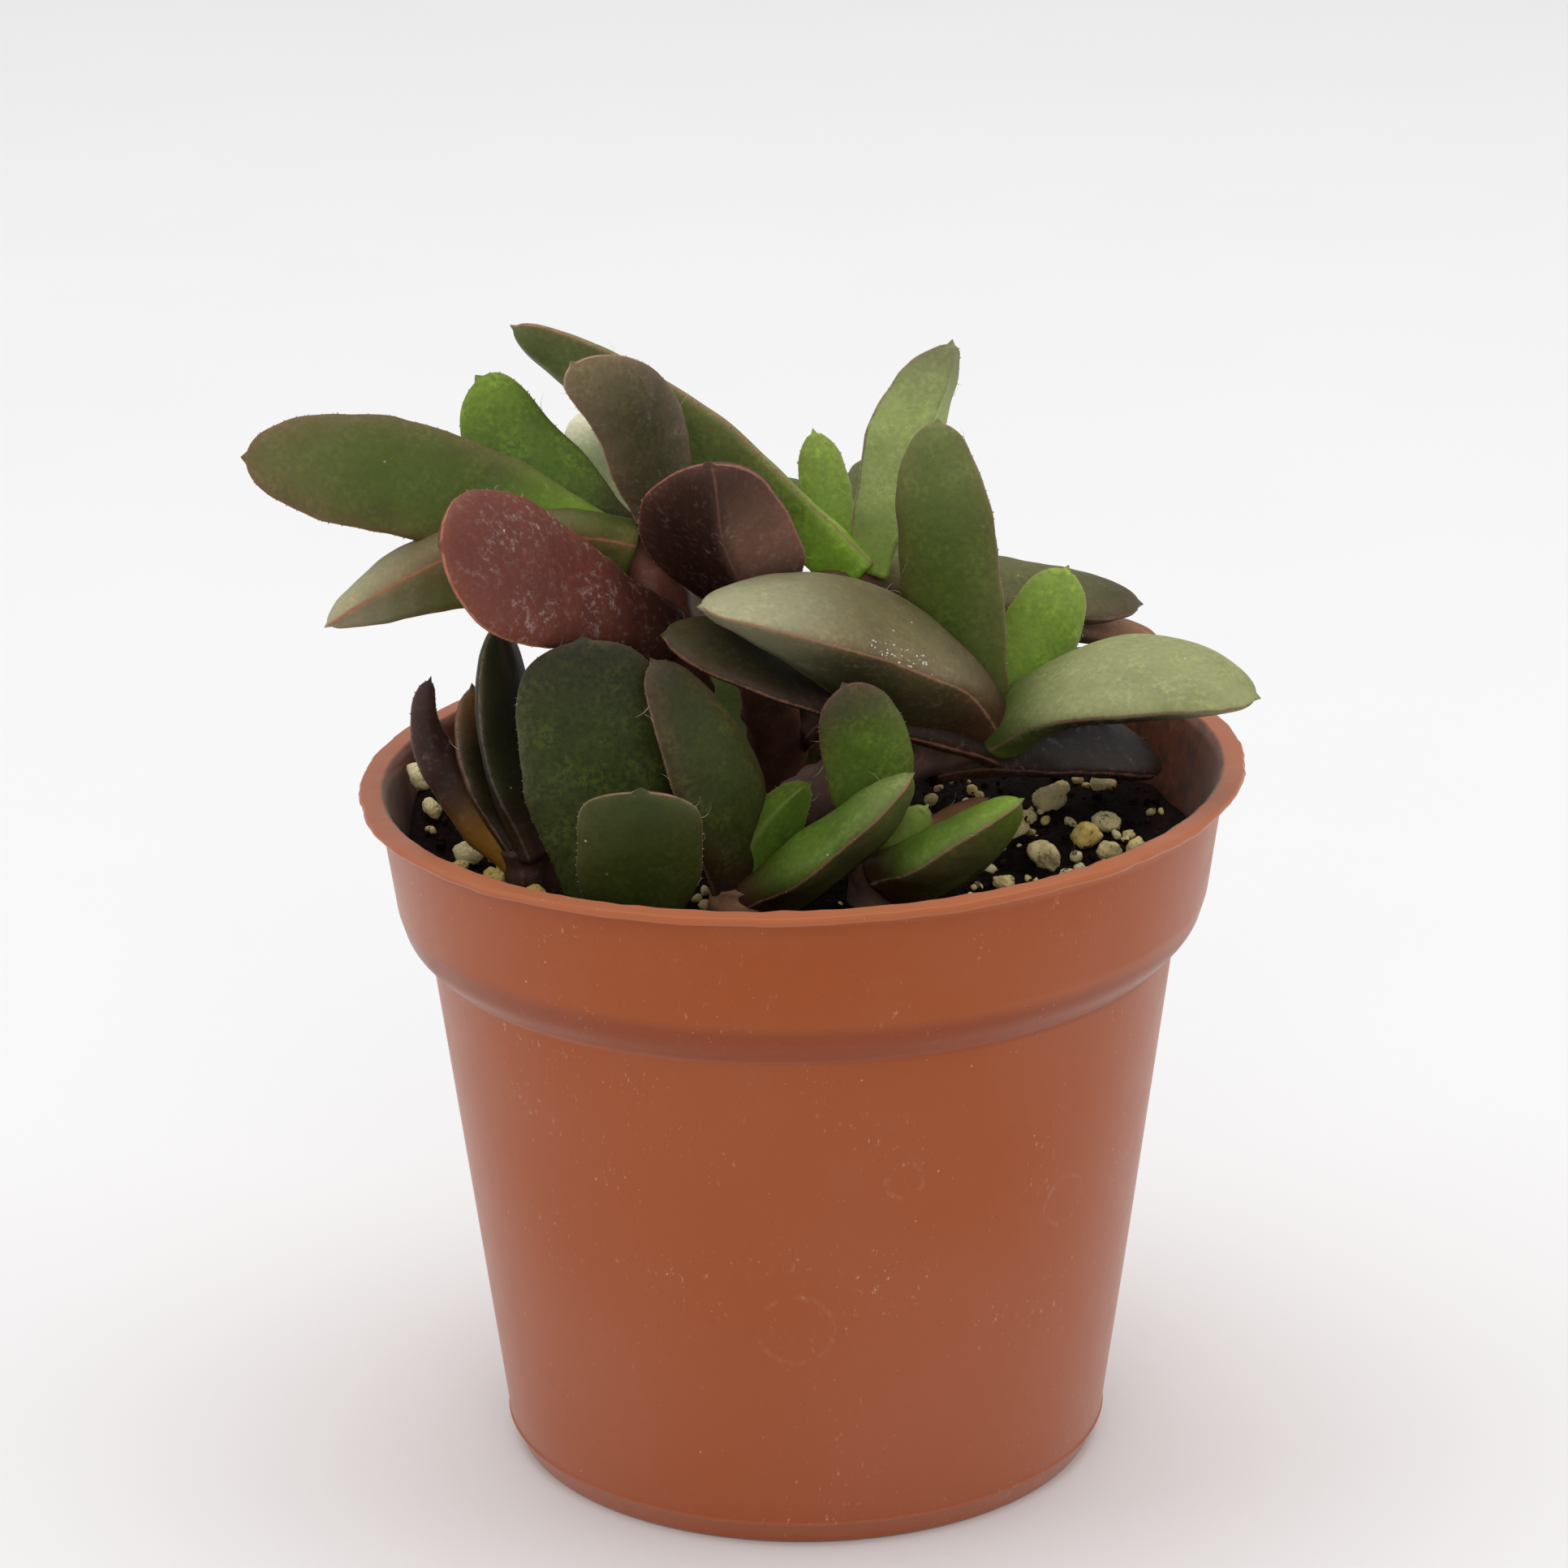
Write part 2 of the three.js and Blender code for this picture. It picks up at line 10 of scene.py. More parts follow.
import bpy
import numpy as np
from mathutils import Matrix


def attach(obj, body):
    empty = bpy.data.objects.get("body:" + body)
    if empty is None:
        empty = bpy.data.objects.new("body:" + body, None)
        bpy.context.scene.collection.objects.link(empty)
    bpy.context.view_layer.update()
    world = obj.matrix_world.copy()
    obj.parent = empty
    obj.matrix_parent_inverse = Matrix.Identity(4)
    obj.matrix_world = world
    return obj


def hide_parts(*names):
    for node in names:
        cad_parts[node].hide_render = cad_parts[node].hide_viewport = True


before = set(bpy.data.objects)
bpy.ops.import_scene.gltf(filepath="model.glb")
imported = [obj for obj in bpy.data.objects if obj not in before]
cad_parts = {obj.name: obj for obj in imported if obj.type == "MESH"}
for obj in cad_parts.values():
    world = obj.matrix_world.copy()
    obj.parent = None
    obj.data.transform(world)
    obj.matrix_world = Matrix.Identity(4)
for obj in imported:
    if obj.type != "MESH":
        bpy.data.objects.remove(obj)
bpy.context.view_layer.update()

Vec = tuple[float, float, float]
Rgb = tuple[float, float, float]

LOG = logging.getLogger("gasteria")
METRES = 0.001
BODY = "root"

# Sizes that the solids share. The heap is its x, y, height and radius.
POT_HEIGHT = 68.5
RIM_TILT = 0.0275
SOIL_TOP = 60.0
UPPER_SHARE = 0.35
HEAP = (-36.5, 6.5, 5.0, 6.5)

# The first shoot's seed, and how far apart the shoots' seeds are.
FIRST_SEED = 1000
SEED_STEP = 200

# A distance in millimetres that is out of reach of every margin or keel line.
FAR = 9.0


# Numbers and grids

def unit(vectors: np.ndarray) -> np.ndarray:
    """Vectors of length one in the same directions."""
    return vectors / np.linalg.norm(vectors, axis=-1, keepdims=True)


def smoothstep(low: float, high: float, value: np.ndarray) -> np.ndarray:
    """Runs from 0 at low to 1 at high, level at both ends: 3s^2 - 2s^3."""
    share = np.clip((value - low) / (high - low), 0.0, 1.0)
    return share * share * (3.0 - 2.0 * share)


def linear(rgb: Rgb) -> np.ndarray:
    """A linear colour from an sRGB one of 0-255."""
    share = np.asarray(rgb, float) / 255.0
    return np.where(share <= 0.04045, share / 12.92, ((share + 0.055) / 1.055) ** 2.4)


def opaque(rgb: Rgb) -> tuple[float, float, float, float]:
    """A linear colour with full alpha, as a socket takes it."""
    return (*linear(rgb).tolist(), 1.0)


def ripple(points: np.ndarray, wavelength: float, seed: int) -> np.ndarray:
    """Smooth waves in space, from about -1 to 1.

    The sum of seven sines, each along a random direction and with a wavelength near the one given,
    divided by the root of their number.

    Args:
        points: Places, as an array that ends in x, y, z.
        wavelength: Typical distance from crest to crest.
        seed: Which waves are drawn.

    Returns:
        One number for each place.
    """
    rng = np.random.default_rng(seed)
    ways = unit(rng.normal(size=(7, 3))) * (2 * np.pi / wavelength) * rng.uniform(0.7, 1.5, (7, 1))
    phases = rng.uniform(0, 2 * np.pi, 7)
    return np.sin(points @ ways.T + phases).sum(-1) / np.sqrt(7.0)


def settle(x: np.ndarray, z: np.ndarray) -> np.ndarray:
    """Height in the moulding, whose mouth stands higher on the right: z + tilt x (z / height)^2."""
    return z + RIM_TILT * x * (z / POT_HEIGHT) ** 2


def soil_rise(x: np.ndarray, y: np.ndarray) -> np.ndarray:
    """How far the soil stands above its level: two soft waves, and a heap against the wall."""
    waves = 0.35 * np.sin(0.31 * x + 1) * np.cos(0.27 * y) + 0.25 * np.sin(0.6 * y - 0.4 * x)
    away = np.hypot(x - HEAP[0], y - HEAP[1]) / HEAP[3]
    return waves + HEAP[2] * np.exp(-away * away)


def course_points(course: np.ndarray, along: np.ndarray) -> np.ndarray:
    """Points on a smooth course through four places.

    A centripetal Catmull-Rom curve: between two places, the cubic whose end slopes come from the
    places on both sides, spaced by the square root of their distances. The course is continued
    past each end by as much as its first or last stretch.

    Args:
        course: The four places.
        along: Parts of the course, 0 to 1, each stretch taking a third.

    Returns:
        One point for each part.
    """
    ends = np.vstack([2 * course[0] - course[1], course, 2 * course[3] - course[2]])
    stretch = np.minimum((along * 3).astype(int), 2)
    part = (along * 3 - stretch)[:, None]
    p0, p1, p2, p3 = (ends[stretch + i] for i in range(4))
    d0, d1, d2 = (
        np.sqrt(np.linalg.norm(b - a, axis=1, keepdims=True)) for a, b in ((p0, p1), (p1, p2), (p2, p3))
    )
    leave = ((p1 - p0) / d0 - (p2 - p0) / (d0 + d1) + (p2 - p1) / d1) * d1
    reach = ((p2 - p1) / d1 - (p3 - p1) / (d1 + d2) + (p3 - p2) / d2) * d1
    square, cube = part**2, part**3
    return (
        (2 * cube - 3 * square + 1) * p1 + (cube - 2 * square + part) * leave
        + (3 * square - 2 * cube) * p2 + (cube - square) * reach
    )


@dataclass
class Patch:
    """A closed piece of mesh in millimetres.

    Attributes:
        points: Places, one row each.
        quads: Faces of four points.
        tris: Faces of three points.
        marks: Numbers or colours kept at every point, which the materials read.
    """

    points: np.ndarray
    quads: np.ndarray
    tris: np.ndarray
    marks: dict[str, np.ndarray] = field(default_factory=dict)

    @staticmethod
    def joined(patches: list["Patch"]) -> "Patch":
        """One patch of several that have the same marks."""
        starts = np.cumsum([0] + [len(p.points) for p in patches[:-1]])
        return Patch(
            np.vstack([p.points for p in patches]),
            np.vstack([p.quads + s for p, s in zip(patches, starts)]),
            np.vstack([p.tris + s for p, s in zip(patches, starts)]),
            {name: np.concatenate([p.marks[name] for p in patches]) for name in patches[0].marks},
        )

    def outward(self) -> "Patch":
        """The patch with its faces turned outwards: the volume they enclose is made positive."""
        tris = np.vstack([self.quads[:, [0, 1, 2]], self.quads[:, [0, 2, 3]], self.tris])
        a, b, c = (self.points[tris[:, i]] for i in range(3))
        if np.einsum("ij,ij->i", a, np.cross(b, c)).sum() < 0:
            self.quads, self.tris = self.quads[:, ::-1], self.tris[:, ::-1]
        return self

    def marked(self, **marks: object) -> "Patch":
        """The patch with each mark set, one value for all points or an array of them."""
        for name, value in marks.items():
            array = np.asarray(value, float)
            if array.shape[:1] != (len(self.points),):
                array = np.broadcast_to(array, (len(self.points), *array.shape)).copy()
            self.marks[name] = array
        return self

    def to_object(self, name: str, material: bpy.types.Material) -> bpy.types.Object:
        """A smooth-shaded object of the patch, in metres, at the origin.

        Args:
            name: Name of the object and its mesh.
            material: Finish of the whole piece.

        Returns:
            The new object, linked to the scene.
        """
        mesh = bpy.data.meshes.new(name)
        faces = self.quads.tolist() + self.tris.tolist()
        mesh.from_pydata((self.points * METRES).tolist(), [], faces)
        mesh.polygons.foreach_set("use_smooth", np.ones(len(faces), bool))
        for mark, values in self.marks.items():
            if values.ndim == 2:
                kept = mesh.color_attributes.new(mark, "FLOAT_COLOR", "POINT")
                kept.data.foreach_set("color", np.column_stack([values, np.ones(len(values))]).ravel())
            else:
                kept = mesh.attributes.new(mark, "FLOAT", "POINT")
                kept.data.foreach_set("value", values.ravel())
        mesh.materials.append(material)
        mesh.update()
        piece = bpy.data.objects.new(name, mesh)
        bpy.context.scene.collection.objects.link(piece)
        return piece


def closed_skin(rings: np.ndarray, first: np.ndarray, last: np.ndarray) -> Patch:
    """Closes a grid of rings with a point at each end.

    Args:
        rings: Grid of points, rows by sides by x, y, z.
        first: Pole before the first ring.
        last: Pole after the last ring.

    Returns:
        The closed patch, its faces outwards.
    """
    rows, sides, _ = rings.shape
    number = np.arange(rows * sides).reshape(rows, sides)
    beside = np.roll(number, -1, axis=1)
    quads = np.stack([number[:-1], number[1:], beside[1:], beside[:-1]], -1).reshape(-1, 4)
    start, end = np.full(sides, rows * sides), np.full(sides, rows * sides + 1)
    fans = [start, number[0], beside[0]], [end, beside[-1], number[-1]]
    tris = np.vstack([np.stack(fan, -1) for fan in fans])
    return Patch(np.vstack([rings.reshape(-1, 3), first, last]), quads, tris).outward()


def ball_directions(rows: int, sides: int) -> np.ndarray:
    """Directions on a sphere's grid, without its poles, rows by sides by x, y, z."""
    lift = np.pi * (np.arange(rows) + 1) / (rows + 1)
    turn = 2 * np.pi * np.arange(sides) / sides
    return np.stack(
        [np.sin(lift)[:, None] * np.cos(turn), np.sin(lift)[:, None] * np.sin(turn),
         np.cos(lift)[:, None] * np.ones(sides)], -1,
    )


def lump(rng: np.random.Generator, rows: int, sides: int, knobs: int, rough: float) -> Patch:
    """A lumpy grain about 1 across from its centre.

    Its radius in a direction is one plus, for each of several random knobs, a bell that falls off
    with the angle from that knob; the whole is then divided by its largest radius.

    Args:
        rng: Source of the draw.
        rows: Rings between the poles.
        sides: Points on a ring.
        knobs: How many bells.
        rough: Height of a bell.

    Returns:
        The closed patch.
    """
    ways = np.vstack([ball_directions(rows, sides).reshape(-1, 3), [0, 0, 1], [0, 0, -1]])
    heads = unit(rng.normal(size=(knobs, 3)))
    heights = rough * rng.uniform(0.4, 1.0, knobs)
    sharp = rng.uniform(5.0, 13.0, knobs)
    radius = 1 + (heights * np.exp(sharp * (ways @ heads.T - 1))).sum(-1)
    radius *= 1 + 0.05 * ripple(ways, 0.5, int(rng.integers(1e6)))
    radius /= radius.max()
    shaped = ways * radius[:, None]
    return closed_skin(shaped[:-2].reshape(rows, sides, 3), shaped[-2], shaped[-1])


def scattered(shape: Patch, frames: np.ndarray, places: np.ndarray) -> Patch:
    """Copies of one shape, each turned and stretched by its own three axes and moved to its place.

    Args:
        shape: What is copied.
        frames: For each copy, a matrix whose columns are the shape's new axes.
        places: For each copy, where its middle goes.

    Returns:
        All copies as one patch, with the shape's marks repeated.
    """
    count = len(places)
    points = np.einsum("nij,pj->npi", frames, shape.points) + places[:, None]
    shift = (np.arange(count) * len(shape.points))[:, None, None]
    return Patch(
        points.reshape(-1, 3), (shape.quads + shift).reshape(-1, 4), (shape.tris + shift).reshape(-1, 3),
        {name: np.concatenate([value] * count) for name, value in shape.marks.items()},
    )


def random_frames(rng: np.random.Generator, sizes: np.ndarray) -> np.ndarray:
    """Randomly turned axes, one set for each row of three sizes."""
    axes = np.linalg.qr(rng.normal(size=(len(sizes), 3, 3)))[0]
    return axes * sizes[:, None, :]


# Shader writing

class Blend(Enum):
    """How a mix joins its second colour to its first."""

    MIX = "MIX"
    MULTIPLY = "MULTIPLY"


class Signal:
    """An output socket in a material. Arithmetic on it adds Math nodes to the material."""

    def __init__(self, graph: "Graph", socket: bpy.types.NodeSocket) -> None:
        """Keeps the socket and the graph that it is in."""
        self.graph = graph
        self.socket = socket

    def maths(self, operation: str, *values: object) -> "Signal":
        """A Math node of that operation on these values."""
        return self.graph.node("ShaderNodeMath", {"operation": operation}, dict(enumerate(values)))

    def __add__(self, other: object) -> "Signal":
        """self + other."""
        return self.maths("ADD", self, other)

    def __sub__(self, other: object) -> "Signal":
        """self - other."""
        return self.maths("SUBTRACT", self, other)

    def __rsub__(self, other: object) -> "Signal":
        """other - self."""
        return self.maths("SUBTRACT", other, self)

    def __mul__(self, other: object) -> "Signal":
        """self * other."""
        return self.maths("MULTIPLY", self, other)

    def __abs__(self) -> "Signal":
        """The size of self without its sign."""
        return self.maths("ABSOLUTE", self)

    __radd__ = __add__
    __rmul__ = __mul__

    def band(self, low: float, high: float) -> "Signal":
        """Runs smoothly from 0 where self is low to 1 where it is high."""
        return self.graph.node(
            "ShaderNodeMapRange", {"interpolation_type": "SMOOTHSTEP"},
            {"Value": self, "From Min": low, "From Max": high},
        )


class Graph:
    """A material's node tree, written as expressions."""

    def __init__(self, name: str) -> None:
        """Starts a material whose patterns are laid out in millimetres of object space."""
        self.material = bpy.data.materials.new(name)
        self.material.use_nodes = True
        self.tree = self.material.node_tree
        self.tree.nodes.clear()
        space = self.node("ShaderNodeTexCoord", output="Object")
        self.place = self.node(
            "ShaderNodeVectorMath", {"operation": "SCALE"}, {"Vector": space, "Scale": 1 / METRES}
        )

    def node(
        self, kind: str, settings: dict | None = None, inputs: dict | None = None, output: int | str = 0
    ) -> Signal:
        """Adds a node.

        Args:
            kind: Blender's name of the node type.
            settings: Properties, set first.
            inputs: Values or signals by socket name or number.
            output: Which output is handed back.

        Returns:
            That output.
        """
        made = self.tree.nodes.new(kind)
        for name, value in (settings or {}).items():
            setattr(made, name, value)
        for name, value in (inputs or {}).items():
            if isinstance(value, Signal):
                self.tree.links.new(value.socket, made.inputs[name])
            else:
                made.inputs[name].default_value = value
        return Signal(self, made.outputs[output])

    def mark(self, name: str) -> Signal:
        """A number that the mesh keeps at its points."""
        return self.node("ShaderNodeAttribute", {"attribute_name": name}, output="Fac")

    def tint(self, name: str) -> Signal:
        """A colour that the mesh keeps at its points."""
        return self.node("ShaderNodeAttribute", {"attribute_name": name}, output="Color")

    def noise(
        self, size: float, detail: float = 2.0, rough: float = 0.5, stretch: Vec = (1, 1, 1)
    ) -> Signal:
        """Soft noise from 0 to 1.

        Args:
            size: Typical spot, in millimetres.
            detail: How many finer layers are added.
            rough: How strong the finer layers are.
            stretch: How much closer together the spots are along x, y and z.

        Returns:
            The noise.
        """
        place = self.place
        if stretch != (1, 1, 1):
            place = self.node("ShaderNodeVectorMath", {"operation": "MULTIPLY"}, {0: place, 1: stretch})
        return self.node(
            "ShaderNodeTexNoise", {},
            {"Vector": place, "Scale": 1 / size, "Detail": detail, "Roughness": rough},
        )

    def specks(self, spacing: float, radius: float, share: float) -> Signal:
        """Scattered round dots, 1 inside and 0 outside.

        Each cell of a Voronoi pattern has one dot, and is used where its own random number is
        under the share.

        Args:
            spacing: Typical distance between cells, in millimetres.
            radius: Radius of a dot, in millimetres.
            share: Part of the cells that have a dot.

        Returns:
            The mask.
        """
        wells = {"Vector": self.place, "Scale": 1 / spacing}
        near = self.node("ShaderNodeTexVoronoi", {}, wells, "Distance")
        draw = self.node("ShaderNodeTexVoronoi", {}, wells, "Color")
        edge = radius / spacing
        return (1 - near.band(edge * 0.6, edge * 1.3)) * (1 - draw.band(share - 0.02, share + 0.02))

    def mix(self, factor: object, a: object, b: object, blend: Blend = Blend.MIX) -> Signal:
        """Colour a with b laid over it by that factor."""
        return self.node(
            "ShaderNodeMix", {"data_type": "RGBA", "blend_type": blend.value}, {0: factor, 6: a, 7: b}, 2
        )

    def far(self, place: Vec) -> Signal:
        """Distance from a place, in millimetres."""
        ends = {0: self.place, 1: place}
        return self.node("ShaderNodeVectorMath", {"operation": "DISTANCE"}, ends, "Value")

    def radius(self) -> Signal:
        """Distance from the upright axis, in millimetres."""
        flat = self.node(
            "ShaderNodeVectorMath", {"operation": "MULTIPLY"}, {0: self.place, 1: (1.0, 1.0, 0.0)}
        )
        return self.node("ShaderNodeVectorMath", {"operation": "LENGTH"}, {0: flat}, "Value")

    def height(self) -> Signal:
        """Height above the floor, in millimetres."""
        return self.node("ShaderNodeSeparateXYZ", {}, {0: self.place}, "Z")

    def finish(
        self, color: object, roughness: object, bump: Signal | None = None, depth: float = 0.02,
        **constants: object,
    ) -> bpy.types.Material:
        """Ends the graph in a Principled shader.

        Args:
            color: Base colour.
            roughness: Roughness.
            bump: Height of the fine relief, 0 to 1, or None.
            depth: How deep that relief is, in millimetres.
            constants: Other sockets, with underscores for the spaces of their names.

        Returns:
            The material.
        """
        inputs = {name.replace("_", " "): value for name, value in constants.items()}
        inputs |= {"Base Color": color, "Roughness": roughness}
        if bump is not None:
            relief = {"Height": bump, "Strength": 1.0, "Distance": depth * METRES}
            inputs["Normal"] = self.node("ShaderNodeBump", {}, relief, "Normal")
        shader = self.node("ShaderNodeBsdfPrincipled", {}, inputs)
        self.node_output(shader)
        return self.material

    def node_output(self, shader: Signal) -> None:
        """Links a shader to the material's surface."""
        made = self.tree.nodes.new("ShaderNodeOutputMaterial")
        self.tree.links.new(shader.socket, made.inputs["Surface"])


@dataclass(frozen=True)
class LeafFinish:
    """Succulent skin: granular pale mottling, a horny margin line, a waxy bloom and stray specks.

    The colours come from the marks that each leaf keeps, so one finish serves a whole shoot.
    """

    name: str
    grain_size: float = 0.55
    horn_width: float = 0.3
    scurf: Rgb = (168, 148, 142)
    fleck: Rgb = (196, 188, 172)
    paler: Vec = (1.75, 1.7, 1.55)
    darker: Vec = (0.6, 0.62, 0.62)

    def material(self) -> bpy.types.Material:
        """Builds the material."""
        g = Graph(self.name)
        tone, horn = g.tint("tone"), g.tint("horn")
        edge, ridge = g.mark("edge"), g.mark("ridge")
        grain, bloom = g.mark("grain"), g.mark("bloom")
        fine = g.noise(self.grain_size, 2.0, 0.65)
        blotch = g.noise(2.6, 3.0, 0.6)
        pale = g.mix(1.0, tone, (*self.paler, 1), Blend.MULTIPLY)
        dark = g.mix(1.0, tone, (*self.darker, 1), Blend.MULTIPLY)
        color = g.mix(g.noise(5.5, 2.0).band(0.46, 0.72) * 0.45, tone, dark)
        color = g.mix((1 - fine.band(0.3, 0.56)) * grain * 0.5, color, dark)
        mottle = fine.band(0.4, 0.72) * (0.15 + blotch.band(0.42, 0.66) * 0.85)
        color = g.mix(mottle * grain, color, pale)
        streaks = g.noise(0.75, 5.0, 0.72).band(0.5, 0.74)
        streaks = streaks * (0.25 + g.noise(5.0).band(0.42, 0.68) * 0.75)
        color = g.mix(streaks * bloom, color, opaque(self.scurf))
        wander = g.noise(0.8, 2.0)
        rib = 1 - (ridge + wander * 0.3).band(0.14, 0.36)
        color = g.mix(rib * 0.3, color, horn)
        rim = 1 - (edge + wander * 0.35).band(self.horn_width * 0.55, self.horn_width * 1.35)
        color = g.mix(rim * (0.72 + g.noise(0.9).band(0.3, 0.6) * 0.28), color, horn)
        color = g.mix(g.specks(1.7, 0.13, 0.16) * 0.75, color, opaque(self.fleck))
        rough = 0.44 + fine * 0.16 + streaks * bloom * 0.25 + rim * 0.1
        relief = fine * 0.55 + g.noise(1.3, 3.0) * 0.8 + rim * wander * 0.6
        return g.finish(
            color, rough, relief, 0.05, Specular_IOR_Level=0.2,
            Subsurface_Weight=0.05, Subsurface_Radius=(1.0, 0.9, 0.3), Subsurface_Scale=0.001,
        )


@dataclass(frozen=True)
class PlasticFinish:
    """Thin moulded plastic, satin, with dust, scuffs and dried water marks on its wall."""

    name: str
    body: Rgb = (153, 72, 23)
    # Greyer orange that the lower wall, broad blotches, smudges and fine grain are mixed towards.
    greyed_orange: Rgb = (158, 86, 55)
    # Lighter orange of the painted light that stands in for light shining through the thin top.
    rim: Rgb = (176, 100, 60)
    dust: Rgb = (214, 172, 150)
    # Near-black brown of the painted shade on the inner wall above the soil.
    soiled: Rgb = (44, 22, 17)
    # Darker orange of the painted shade under the collar.
    shade: Rgb = (112, 44, 14)
    chalk: Rgb = (240, 228, 218)
    gleam: Rgb = (255, 238, 228)
    water_marks: tuple[tuple[Vec, float], ...] = (
        ((-0.9, -32.3, 23.9), 3.6),
        ((9.3, -33.0, 39.2), 1.8),
        ((24.0, -22.5, 33.0), 2.6),
    )

    def material(self) -> bpy.types.Material:
        """Builds the material."""
        g = Graph(self.name)
        z = g.height()
        greyed_orange, dust = opaque(self.greyed_orange), opaque(self.dust)
        # Greyer and paler towards the bottom, and in broad soft blotches.
        greying = g.noise(24.0, 1.0).band(0.34, 0.68) * 0.35 + (1 - z.band(8.0, 44.0)) * 0.5
        color = g.mix(greying, opaque(self.body), greyed_orange)
        smudge = g.noise(7.0, 4.0, 0.66).band(0.5, 0.8)
        color = g.mix(smudge * 0.35, color, greyed_orange)
        # Painted light: the top of the pot round the flange is coloured lighter, standing in for light
        # shining through the thin plastic.
        color = g.mix(z.band(66.8, 67.6) * 0.7, color, opaque(self.rim))
        # Painted shade: the downward-facing step under the collar is darkened.
        painted_shade_under_collar = z.band(51.6, 52.6) * (1 - z.band(55.4, 57.0)) * (1 - z.band(58.0, 59.0))
        color = g.mix(painted_shade_under_collar * 0.55, color, opaque(self.shade))
        # Painted shade: the inner wall above the soil is darkened, in blotches, towards a near-black
        # brown.
        painted_shade_inside = (1 - (g.radius() - z * 0.1415).band(30.5, 30.9)) * z.band(57.6, 58.6)
        shade_blotches = g.noise(2.2, 4.0, 0.7).band(0.35, 0.7)
        color = g.mix(painted_shade_inside * (0.5 + shade_blotches * 0.4), color, opaque(self.soiled))
        film = g.noise(1.0, 3.0, 0.7)
        for place, radius in self.water_marks:
            away = g.far(place)
            ring = 1 - abs(away - radius).band(0.1, 0.4)
            color = g.mix(ring * film.band(0.42, 0.66) * 0.09, color, dust)
        scuffs = g.noise(0.55, 3.0, 0.75, (1, 1, 0.5)).band(0.6, 0.74)
        scuffs = scuffs * g.noise(9.0, 3.0).band(0.45, 0.7)
        color = g.mix(scuffs * 0.5, color, dust)
        color = g.mix(g.specks(0.9, 0.055, 0.3) * 0.5, color, dust)
        color = g.mix(g.specks(1.7, 0.11, 0.2) * 0.5, color, dust)
        color = g.mix(g.specks(4.5, 0.2, 0.14) * 0.85, color, opaque(self.chalk))
        fine = g.noise(0.22, 1.0)
        color = g.mix(fine.band(0.35, 0.7) * 0.1, color, greyed_orange)
        rough = 0.28 + g.noise(5.0, 3.0) * 0.1 + fine * 0.08 + smudge * 0.08
        relief = fine * 0.35 + g.noise(1.6, 2.0) * 0.5
        return g.finish(
            color, rough, relief, 0.02, Specular_IOR_Level=0.25,
            Sheen_Weight=0.16, Sheen_Roughness=0.45, Sheen_Tint=opaque(self.gleam),
        )


@dataclass(frozen=True)
class SoilFinish:
    """Damp peat: near black crumbs with pale flecks; a mark gives each crumb its own tone."""

    name: str
    damp: Rgb = (17, 8, 6)
    dry: Rgb = (52, 30, 20)
    bark: Rgb = (84, 50, 34)
    fleck: Rgb = (140, 108, 80)

    def material(self) -> bpy.types.Material:
        """Builds the material."""
        g = Graph(self.name)
        crumbs = g.noise(0.7, 4.0, 0.7)
        color = g.mix(crumbs.band(0.45, 0.8) * 0.6, opaque(self.damp), opaque(self.dry))
        color = g.mix(g.mark("fresh"), color, opaque(self.bark))
        color = g.mix(g.specks(1.9, 0.12, 0.06) * 0.5, color, opaque(self.fleck))
        rough = 0.7 + g.noise(0.5) * 0.25
        return g.finish(color, rough, crumbs + g.noise(0.25, 2.0) * 0.6, 0.16, Specular_IOR_Level=0.1)


@dataclass(frozen=True)
class PumiceFinish:
    """Porous cream pumice with peat caught in its hollows, and painted shade in its pits and in soft
    blotches.
    """

    name: str
    cream: Rgb = (240, 226, 176)
    ochre: Rgb = (226, 192, 92)
    peat: Rgb = (58, 34, 24)
    painted_shade_tan: Rgb = (196, 172, 122)
    pit_shade: Rgb = (120, 92, 60)

    def material(self) -> bpy.types.Material:
        """Builds the material."""
        g = Graph(self.name)
        color = g.mix(g.mark("yellow"), opaque(self.cream), opaque(self.ochre))
        # Painted shade: soft blotches darken the cream.
        color = g.mix(g.noise(1.2, 3.0).band(0.45, 0.75) * 0.35, color, opaque(self.painted_shade_tan))
        pores = g.noise(0.28, 2.0, 0.6)
        # Painted shade: the pits are darkened.
        color = g.mix((1 - pores.band(0.28, 0.45)) * 0.5, color, opaque(self.pit_shade))
        caught = g.noise(1.5, 4.0, 0.72).band(0.58, 0.63) * g.mark("soiled")
        color = g.mix(caught, color, opaque(self.peat))
        relief = pores * 0.6 + g.noise(0.7, 3.0) * 0.8
        return g.finish(color, 0.82 + pores * 0.12, relief, 0.12, Specular_IOR_Level=0.25)


@dataclass(frozen=True)
class FloorFinish:
    """Matt white card."""

    name: str
    color: Rgb = (238, 238, 239)
    shade: Rgb = (236, 235, 236)

    def material(self) -> bpy.types.Material:
        """Builds the material."""
        g = Graph(self.name)
        cloud = g.noise(60.0, 2.0).band(0.3, 0.7) * 0.3
        color = g.mix(cloud, opaque(self.color), opaque(self.shade))
        return g.finish(color, 0.75, g.noise(0.6, 2.0), 0.01, Specular_IOR_Level=0.2)


# The plant

